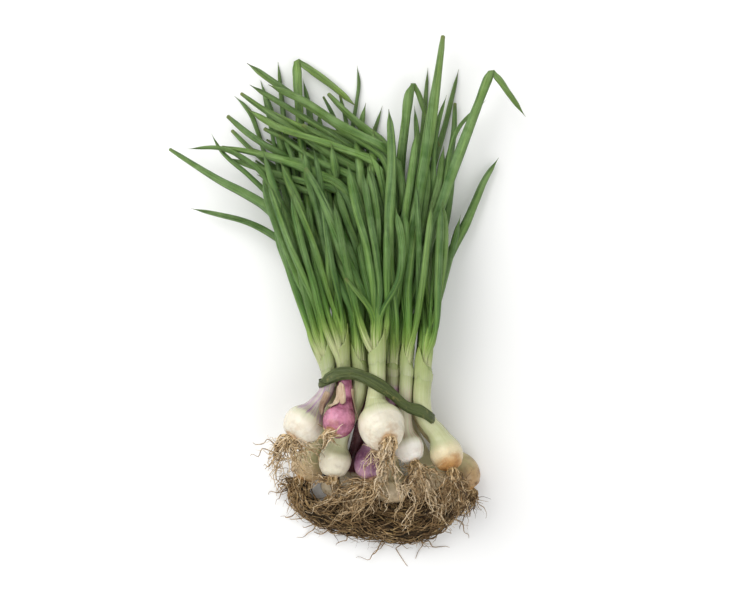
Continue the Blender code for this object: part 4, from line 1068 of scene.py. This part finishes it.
# roots: threads that follow each tuft and run on into a matted ring round the bulbs
rootLook = {"rows": 18, "thin": 0.26, "thick": 0.66, "curl": 3.6, "matSides": 30, "matShare": 0.78}
tuftLooks = {  # threads, how light they are, and where sprays of them go: share, spread and route
    1: (84, 0.84, [(1.0, 6.5, [(-44, -113, 46), (-43, -138, 26)]),
                   (1.0, 6.0, [(-35, -113, 46), (-31, -136, 28)]),
                    (0.8, 5.0, [(-25, -108, 49), (-15, -118, 42)]),
                    (0.6, 5.0, [(-49, -109, 46), (-57, -126, 26)]),
                    (0.25, 3.0, [(-48, -104, 50), (-56, -106, 46)])]),
    2: (64, 0.86, [(1.0, 1.5, [(-17, -99, 65), (-20, -103, 62)]),
                   (1.0, 1.5, [(-8, -103, 66), (-4, -107, 63)]),
                   (1.0, 1.5, [(-14, -104, 66), (-16, -110, 62)]),
                   (0.8, 1.5, [(-15, -93, 69), (-18, -90, 68)]),
                   (0.8, 1.5, [(-6, -93, 71), (-3, -90, 70)]), (0.8, 1.5, [(-3, -98, 69), (0, -98, 66)])]),
    3: (62, 0.96, [(1.0, 3.5, [(27, -108, 70), (26, -122, 58), (25, -137, 46)]),
                   (0.35, 5.0, [(31, -110, 68), (36, -130, 52), (45, -152, 34)]),
                   (0.3, 4.0, [(26, -112, 66), (24, -134, 50), (20, -162, 28)]),
                   (0.8, 4.0, [(23, -106, 68), (14, -116, 54), (8, -130, 44)])]),
    4: (66, 0.76, [(1.0, 5.5, [(45, -130, 48), (47, -144, 38), (38, -170, 24)]),
                   (1.0, 6.0, [(53, -130, 48), (60, -148, 36), (72, -166, 22)]),
                   (0.7, 5.0, [(58, -126, 46), (66, -146, 30)]), (0.6, 5.0, [(39, -136, 42), (32, -160, 24)]),
                   (0.3, 3.0, [(38, -122, 48), (34, -118, 46)])]),
    5: (90, 0.60, [(1.0, 5.0, [(71, -136, 47), (66, -152, 32), (60, -168, 20)]),
                   (1.0, 4.5, [(77, -136, 46), (78, -150, 30), (70, -163, 18)]),
                   (0.6, 3.5, [(80, -132, 44), (84, -142, 30), (82, -152, 20)])]),
    6: (26, 0.60, [(1.0, 3.0, [(-16, -132, 35), (-32, -138, 26)]),
                   (0.7, 3.0, [(-8, -136, 32), (-6, -150, 20)])]),
    7: (110, 0.50, [(1.0, 4.0, [(-38, -143, 10), (-30, -156, 9), (-14, -164, 8)]),
                    (0.6, 4.5, [(-42, -136, 11), (-46, -146, 6)]),
                    (0.5, 3.0, [(-28, -146, 14), (-24, -158, 12)])]),
    8: (84, 0.66, [(1.0, 7.0, [(8, -138, 36), (-8, -146, 26), (-24, -157, 16)]),
                   (1.0, 7.0, [(12, -142, 34), (0, -156, 24), (-12, -168, 14)]),
                   (1.0, 5.0, [(6, -133, 38), (-10, -138, 32)]),
                   (0.6, 7.0, [(21, -140, 34), (14, -160, 22)])]),
    9: (80, 0.46, [(1.0, 5.0, [(2, -152, 15), (-12, -164, 8)]), (1.0, 6.0, [(9, -156, 12), (24, -170, 8)])]),
    10: (90, 0.40, [(1.0, 4.5, [(-8, -158, 8), (8, -170, 6)]), (0.8, 4.5, [(-18, -156, 8), (-30, -152, 6)])]),
    11: (84, 0.48, [(1.0, 6.0, [(32, -162, 12), (16, -173, 7)]),
                    (1.0, 6.0, [(40, -164, 12), (56, -175, 7)])]),
    12: (96, 0.48, [(1.0, 4.5, [(84, -150, 11), (76, -160, 9), (62, -168, 8)]),
                    (0.8, 4.0, [(86, -148, 16), (80, -158, 12)])]),
    13: (84, 0.50, [(1.0, 6.0, [(56, -160, 12), (42, -173, 8)]),
                    (1.0, 6.0, [(62, -160, 14), (72, -164, 8)])]),
}
ringLooks = [  # threads, the mat's middle line, and its reach round that
    (300, [(-28, -132, 9), (-31, -142, 9), (-27, -152, 9), (-15, -159, 9), (1, -164, 9), (22, -167, 9),
           (42, -169, 9),
           (56, -165, 9), (66, -158, 10), (73, -147, 11), (77, -134, 11)],
     [4.0, 5.5, 7.5, 8.5, 8.6, 8.8, 9.0, 9.0, 9.2, 8.0, 5.0]),
    (240, [(-8, -152, 8), (4, -150, 8), (18, -150, 9), (34, -154, 9), (50, -152, 11), (62, -147, 13),
           (72, -141, 12)], [3.0, 6.0, 7.0, 7.0, 8.0, 9.0, 6.0]),
]
holeAt, holeSize = np.array([-16.5, -140.0]), 6.5  # a gap in the mat that stays open


def addThread(shape, path, thick, light, seed, curl=1.0):
    rolls = np.random.RandomState(seed)
    rows = rootLook["rows"]
    along = arcLengths(path)
    at = np.linspace(0.0, along[-1], rows)
    path = smoothValues(along, path, at)
    length = at[-1]
    curl = curl * rootLook["curl"] * min(1.0, length / 30.0)
    for axis in range(3):
        knots = slowNoise(rows, length / rows, 7.0, rolls)
        path[:, axis] += curl * knots * smoothStep(at / 8.0) * (0.7 if axis == 2 else 1.0)
    away = path[:, :2] - holeAt
    far = np.linalg.norm(away, axis=1)
    inside = far < holeSize
    out = holeSize + 0.8 * (holeSize - far[inside, None])
    path[inside, :2] = holeAt + away[inside] / far[inside, None] * out
    path[:, 2] = np.maximum(path[:, 2], thick + 0.05)
    ways, sides, rises = carriedFrames(path)
    t = at / length
    reach = thick * (1 - 0.7 * t ** 1.5) * (1 + 0.18 * slowNoise(rows, length / rows, 6.0, rolls))
    places = 4 if thick > 0.4 else 3
    angles = fullCircle(places)
    ring = ringWays(sides, rises, angles)
    rings = withEnds(path[:, None] + ring * reach[:, None, None],
                     path[0] - ways[0] * 0.2, path[-1] + ways[-1] * 0.4)
    fromPlate = np.concatenate([[0.0], at, [length]])
    life = np.stack([fromPlate, length - fromPlate, np.full(rows + 2, light)], axis=1)
    life = np.repeat(life[:, None], places, axis=1)
    wrapGrid(shape, rings, aroundStrand(angles, fromPlate + seed % 97), life)
    return path


def addTwig(shape, trunk, rolls, size, light, seed):
    spot = trunk[rolls.randint(3, 10)]
    onward = unit(unit(trunk[-1] - trunk[2]) + rolls.uniform(-1, 1, 3) * np.array([1.0, 1.0, 0.6]))
    twig = np.array([spot, spot + onward * 5.0, spot + onward * rolls.uniform(9, 18)])
    addThread(shape, twig, 0.6 * size, light, seed)


def addTuft(shape, number):
    threads, light, sprays = tuftLooks[number]
    rolls = np.random.RandomState(4000 + number)
    middle, out, side, rise, plate = plateFrame(number)
    shares = np.array([spray[0] for spray in sprays])
    locks = rolls.normal(0, 1, (len(sprays), 5, 3)) * np.array([1.0, 0.7, 0.8])
    for k in range(threads):
        spray = rolls.choice(len(sprays), p=shares / shares.sum())
        _, spread, route = sprays[spray]
        turn, off = rolls.uniform(0, 2 * math.pi), math.sqrt(rolls.uniform(0.02, 1.0))
        root = middle + (side * math.cos(turn) + rise * math.sin(turn)) * plate * off
        spots = [root, root + (out + (root - middle) / plate * 0.5) * min(3.0, 2 + plate / 2)]
        swerve = locks[spray, rolls.randint(5)] + 0.22 * rolls.normal(0, 1, 3)
        for step, spot in enumerate(route):
            grow = (step + 1.0) / len(route)
            spots.append(np.array(spot, float)
                         + (swerve + 0.25 * rolls.normal(0, 1, 3)) * spread * 0.85 * grow)
        spots = smoothPath(np.array(spots), 1.5)
        spots = spots[:max(5, int(len(spots) * rolls.uniform(0.45, 1.0)))]
        lightness = np.clip(light + rolls.normal(0, 0.20), 0.03, 1.0)
        size = rolls.uniform(rootLook["thin"], rootLook["thick"])
        trunk = addThread(shape, spots, size, lightness, 7000 + 200 * number + k,
                          curl=0.6 if number == 2 else 1.0)
        if rolls.uniform() < 0.45 and number != 2:
            addTwig(shape, trunk, rolls, size, lightness, 20000 + 200 * number + k)


def addMat(shape, line, reach):
    # the middle of the matted threads
    path = smoothPath(line, 1.0)
    along = arcLengths(path)
    reach = alongPath(np.array(line, float), reach, path) * rootLook["matShare"]
    reach *= np.clip(np.minimum(along, along[-1] - along) / 5.0, 0.05, 1.0) ** 0.5
    _, sides, rises = carriedFrames(path)
    places = rootLook["matSides"]
    angles = fullCircle(places)
    ring = ringWays(sides, rises, angles)
    lumps = np.array([[noise.fractal(Vector(path[i] * 0.20 + ring[i, j] * 1.4), 1.0, 2.0, 4)
                       for j in range(places)] for i in range(len(path))])
    rings = withEnds(path[:, None] + ring * (reach[:, None] * (1 + 0.38 * lumps))[..., None],
                     path[0], path[-1])
    rings[..., 2] = np.maximum(rings[..., 2], 0.05)
    away = rings[..., :2] - holeAt
    far = np.linalg.norm(away, axis=2)[..., None] + 1e-6
    rings[..., :2] = np.where(far < holeSize + 1, holeAt + away / far * (holeSize + 1), rings[..., :2])
    height = np.concatenate([[0.0], along, [along[-1]]])
    wrapGrid(shape, rings, aroundStrand(angles, height), np.zeros(rings.shape))


def addMatThreads(shape, threads, line, reach, seed):
    path = smoothPath(line, 1.5)
    reach = alongPath(np.array(line, float), reach, path)
    _, sides, rises = carriedFrames(path)
    rolls = np.random.RandomState(seed)
    for k in range(threads):
        first = rolls.randint(0, len(path) - 10)
        stop = min(len(path), first + rolls.randint(10, 36))
        turn = rolls.uniform(-0.3, 1.15) * math.pi + np.linspace(0, rolls.uniform(-1.6, 1.6), stop - first)
        away = turnedWay(sides[first:stop], rises[first:stop], turn)
        route = path[first:stop] + away * (reach[first:stop] * rolls.uniform(0.72, 1.08))[:, None]
        if rolls.uniform() < 0.5:
            route = route[::-1]
        if rolls.uniform() < 0.35:
            onward = unit(route[-1] - route[-3] + rolls.uniform(-2, 2, 3))
            route = np.vstack([route, route[-1] + onward * rolls.uniform(4, 10)])
        # the mat's threads are mostly dark: partly soiled brown, partly painted shade among the matted
        # threads
        light = np.clip(rolls.normal(0.34, 0.24), 0.0, 1.0)
        size = rolls.uniform(rootLook["thin"], rootLook["thick"]) * 0.85
        trunk = addThread(shape, route[::2], size, light, seed + 100 + k, curl=0.7)
        if rolls.uniform() < 0.35:
            addTwig(shape, trunk, rolls, size, light, seed + 1000 + k)


looseThreads = {  # threads that reach out of the mat: onion and route
    7: [[(-36, -118, 8), (-48, -120, 5), (-58, -126, 2)], [(-38, -134, 6), (-46, -144, 4), (-50, -152, 1)],
        [(-38, -140, 6), (-48, -142, 4), (-54, -146, 1)], [(-30, -154, 6), (-40, -160, 3), (-48, -160, 1)],
        [(-34, -148, 6), (-40, -153, 4), (-45, -149, 2)],
        [(-27, -158, 6), (-35, -163, 4), (-40, -162, 2)], [(-33, -136, 9), (-41, -139, 6), (-46, -136, 3)]],
    1: [[(-42, -104, 42), (-54, -112, 34), (-66, -118, 26)],
        [(-44, -108, 40), (-56, -104, 36), (-62, -106, 30)]],
    11: [[(30, -170, 6), (28, -182, 3), (18, -187, 1)], [(30, -172, 5), (22, -184, 3), (10, -192, 1)],
         [(31, -172, 5), (38, -184, 3), (40, -196, 1)], [(32, -176, 4), (24, -178, 3), (14, -180, 2)]],
    13: [[(46, -170, 6), (52, -180, 3), (50, -190, 1)], [(50, -172, 6), (60, -182, 3), (74, -186, 1)]],
    12: [[(74, -160, 8), (82, -168, 4), (86, -176, 1)], [(84, -140, 10), (92, -148, 6), (96, -156, 2)]],
    9: [[(-20, -162, 6), (-26, -168, 4), (-31, -167, 2)], [(-10, -166, 6), (-16, -172, 3), (-23, -173, 1)],
        [(-20, -164, 6), (-28, -172, 3), (-36, -175, 1)], [(0, -168, 6), (-2, -178, 3), (-8, -182, 1)]],
}

for number in bulbs:
    shape = newShape()
    addTuft(shape, number)
    for k, route in enumerate(looseThreads.get(number, [])):
        trunk = addThread(shape, smoothPath(route, 2.0), 0.5, 0.5, 600 + 10 * number + k)
        twig = np.array([trunk[5], trunk[5] + [4.0, -3.0, 0.0], trunk[5] + [9.0, -4.0, 0.0]])
        addThread(shape, twig, 0.25, 0.5, 800 + 10 * number + k)
    finishPiece(f"onion_{number:02d}_root_threads", shape, [rootMaterial],
                [f"onion_{number:02d}_roots"])
shape, threadShape = newShape(), newShape()
for order, (threads, line, reach) in enumerate(ringLooks):
    addMat(shape, line, reach)
    addMatThreads(threadShape, threads, line, reach, 50000 + 5000 * order)
finishPiece("root_mat", shape, [matMaterial])
finishPiece("root_mat_threads", threadShape, [rootMaterial])
print("roots made")


# ribbons: leaves and skins pressed flat
def addRibbon(shape, path, out, widths, thick, seed, wave=0.35, tilt=0.16):
    places = 20
    rolls = np.random.RandomState(seed)
    count = len(path)
    spacing = arcLengths(path)[-1] / count
    ways = carriedFrames(path)[0]
    out = out - ways * (out * ways).sum(axis=1)[:, None]
    out /= np.linalg.norm(out, axis=1)[:, None]
    broad = np.cross(out, ways)
    angles = fullCircle(places)
    tilts = tilt * slowNoise(count, spacing, 26.0, rolls)
    crease = slowNoise(count, spacing, 18.0, rolls)[:, None]
    x = np.sign(np.cos(angles)) * np.abs(np.cos(angles)) ** 0.8
    y = np.sin(angles)
    across = x[None] * widths[:, None] / 2
    lift = y[None] * thick / 2 * (0.75 + 0.25 * np.abs(x)[None])
    lift = lift + wave * (0.6 * np.cos(3.8 * x[None] + 3 * crease) + 0.28 * np.cos(7 * x[None] + 5 * crease))
    lift += tilts[:, None] * across * 0.5
    rings = withEnds(path[:, None] + broad[:, None] * across[..., None] + out[:, None] * lift[..., None],
                     path[0], path[-1])
    along = np.concatenate([[0.0], arcLengths(path), [arcLengths(path)[-1]]])
    strand = np.stack([np.repeat(x[None], len(rings), 0), np.repeat(0.3 * y[None], len(rings), 0),
                       np.repeat(along[:, None], places, axis=1)], axis=2)
    wrapGrid(shape, rings, strand, strand * 0.0)


# the tie: a leaf wound nearly twice, drawn tight on the necks
tieLook = {"thick": 1.1, "turns": 1.86, "from": 3.5, "round": 180,
           "line": [(-20, -65.5), (-13, -61.5), (-7, -58.0), (0, -56.5), (8, -57.5), (17, -61.5), (24, -65.5),
                    (31, -70.0), (37, -76.0), (42, -80.5), (48, -81.5), (54, -84.0), (59, -88.5),
                    (62, -91.0)],
           "wide": [(-20, 6.5), (-8, 8.0), (8, 7.0), (24, 8.0), (34, 6.0), (42, 6.0), (50, 7.5), (62, 6.5)]}


def neckCircles():
    # where the tie's line crosses each neck: x, z and radius
    line = np.array(tieLook["line"], float)
    circles = []
    for centres, radii in bulbs.values():
        path = smoothPath(centres, 0.5)
        reach = alongPath(centres, radii, path)
        level = np.interp(path[:, 0], line[:, 0], line[:, 1])
        k = len(path) - 1 - np.argmax((path[:, 1] < level)[::-1])
        circles.append((path[k, 0], path[k, 2], reach[k]))
    return circles


def addTie(shape):
    look = tieLook
    line, wide = np.array(look["line"], float), np.array(look["wide"], float)
    circles = neckCircles()
    middle = np.array([np.mean([c[0] for c in circles]), np.mean([c[1] for c in circles])])
    count = look["round"]
    ways = np.linspace(0, 2 * math.pi, count + 1)[:-1]
    # the outline furthest out in every way, taken round as a tight loop
    reaches = np.array([max((c[0] - middle[0]) * math.cos(w) + (c[1] - middle[1]) * math.sin(w) + c[2]
                            for c in circles) for w in ways])
    slope = (np.roll(reaches, -1) - np.roll(reaches, 1)) / (2 * (ways[1] - ways[0]))
    loop = np.stack([middle[0] + reaches * np.cos(ways) - slope * np.sin(ways),
                     middle[1] + reaches * np.sin(ways) + slope * np.cos(ways)], axis=1)
    steps = int(look["turns"] * count)
    order = (np.arange(steps) + int(look["from"] / (2 * math.pi) * count)) % count
    turn = np.arange(steps) / count
    lift = look["thick"] * (0.55 + 1.0 * smoothStep((turn - 0.75) / 0.25))
    outward = np.stack([np.cos(ways[order]), np.sin(ways[order])], axis=1)
    flat = loop[order] + outward * lift[:, None]
    flat = smoothPath(np.hstack([flat, turn[:, None] * 0.001]), 1.0)
    gone = np.linspace(0, look["turns"], len(flat))
    upper = flat[:, 1] > middle[1]
    shift = softened(np.where(gone < 0.9, -1.6, 0.6), 10)
    y = np.interp(flat[:, 0], line[:, 0], line[:, 1]) + shift + np.where(upper, 0.0, -1.5)
    path = np.stack([flat[:, 0], softened(y, 4), flat[:, 1]], axis=1)
    out = np.stack([flat[:, 0] - middle[0], np.zeros(len(flat)), 1.6 * (flat[:, 1] - middle[1])], axis=1)
    out /= np.linalg.norm(out, axis=1)[:, None]
    widths = np.interp(flat[:, 0], wide[:, 0], wide[:, 1]) * np.where(gone < 0.9, 0.8, 1.0)
    ends = np.minimum(gone, look["turns"] - gone) * 40
    addRibbon(shape, path, out, widths * np.clip(ends, 0.3, 1.0), look["thick"], 77)


shape = newShape()
addTie(shape)
finishPiece("tie_leaf", shape, [tieMaterial], ["tie_band"])


def addDrySkin(shape, number, angle, first, last, width, seed):
    # a strip of papery skin that has come loose along a neck
    centres, radii = bulbs[number]
    line = smoothPath(centres, 1.2)
    along = arcLengths(line)
    reach = alongPath(centres, radii, line)
    _, sides, rises = carriedFrames(line)
    keep = (along > first) & (along < last)
    share = (along[keep] - first) / (last - first)
    turn = angle + 0.5 * (share - 0.5)
    out = turnedWay(sides[keep], rises[keep], turn)
    lift = reach[keep] + 0.4 + 1.6 * (1 - share) ** 3
    widths = width * np.clip(np.minimum(share, 1 - share) * 5 + 0.25, 0, 1)
    addRibbon(shape, line[keep] + out * lift[:, None], out, widths, 0.35, seed, wave=0.5, tilt=0.9)


drySkins = [  # onion, place round the neck, from and to in mm along it, width
    (2, 2.9, 14, 38, 5.5), (2, 2.2, 20, 40, 4.0), (2, 0.5, 16, 36, 4.5), (2, -0.1, 18, 38, 3.5),
    (1, 1.2, 24, 42, 5.0),
]
for number in (1, 2):
    shape = newShape()
    for order, (onion, angle, first, last, width) in enumerate(drySkins):
        if onion == number:
            addDrySkin(shape, onion, angle, first, last, width, 70 + order)
    finishPiece(f"onion_{number:02d}_dry_skin", shape, [drySkinMaterial])
print("tie and dry skins made")


# floor, light and camera
studio = {"floor": tone(248, 248, 247), "sky": 0.60, "key": 21.0, "keyAt": (-0.9, 0.75, 1.1), "keySize": 1.5,
          "fill": 7.0, "fillAt": (0.5, -0.8, 1.2), "fillSize": 1.2, "lens": 85.0, "film": 36.0,
          "eyeAt": (18.25 * mm, -7.35 * mm, 1.248)}


def makeFloor():
    shape = bmesh.new()
    bmesh.ops.create_grid(shape, x_segments=1, y_segments=1, size=4.0)
    mesh = bpy.data.meshes.new("floor")
    shape.to_mesh(mesh)
    shape.free()
    material = bpy.data.materials.new("pale_floor")
    material.use_nodes = True
    shader = material.node_tree.nodes["Principled BSDF"]
    shader.inputs["Base Color"].default_value = studio["floor"]
    shader.inputs["Roughness"].default_value = 0.85
    mesh.materials.append(material)
    addObject("floor", mesh)


def makeLight(name, spot, size, power):
    lamp = bpy.data.lights.new(name, "AREA")
    lamp.size = size
    lamp.energy = power
    holder = addObject(name, lamp)
    holder.location = spot
    holder.rotation_euler = (Vector((0.0, 0.0, 0.03)) - Vector(spot)).to_track_quat("-Z", "Y").to_euler()


makeFloor()
makeLight("key", studio["keyAt"], studio["keySize"], studio["key"])
makeLight("fill", studio["fillAt"], studio["fillSize"], studio["fill"])
world = bpy.data.worlds.new("sky")
world.use_nodes = True
world.node_tree.nodes["Background"].inputs["Color"].default_value = (1.0, 1.0, 1.0, 1.0)
world.node_tree.nodes["Background"].inputs["Strength"].default_value = studio["sky"]
bpy.context.scene.world = world
bpy.context.scene.view_settings.view_transform = "Standard"

eye = bpy.data.cameras.new("camera")
eye.lens = studio["lens"]
eye.sensor_width = studio["film"]
holder = addObject("camera", eye)
holder.location = studio["eyeAt"]
bpy.context.scene.camera = holder
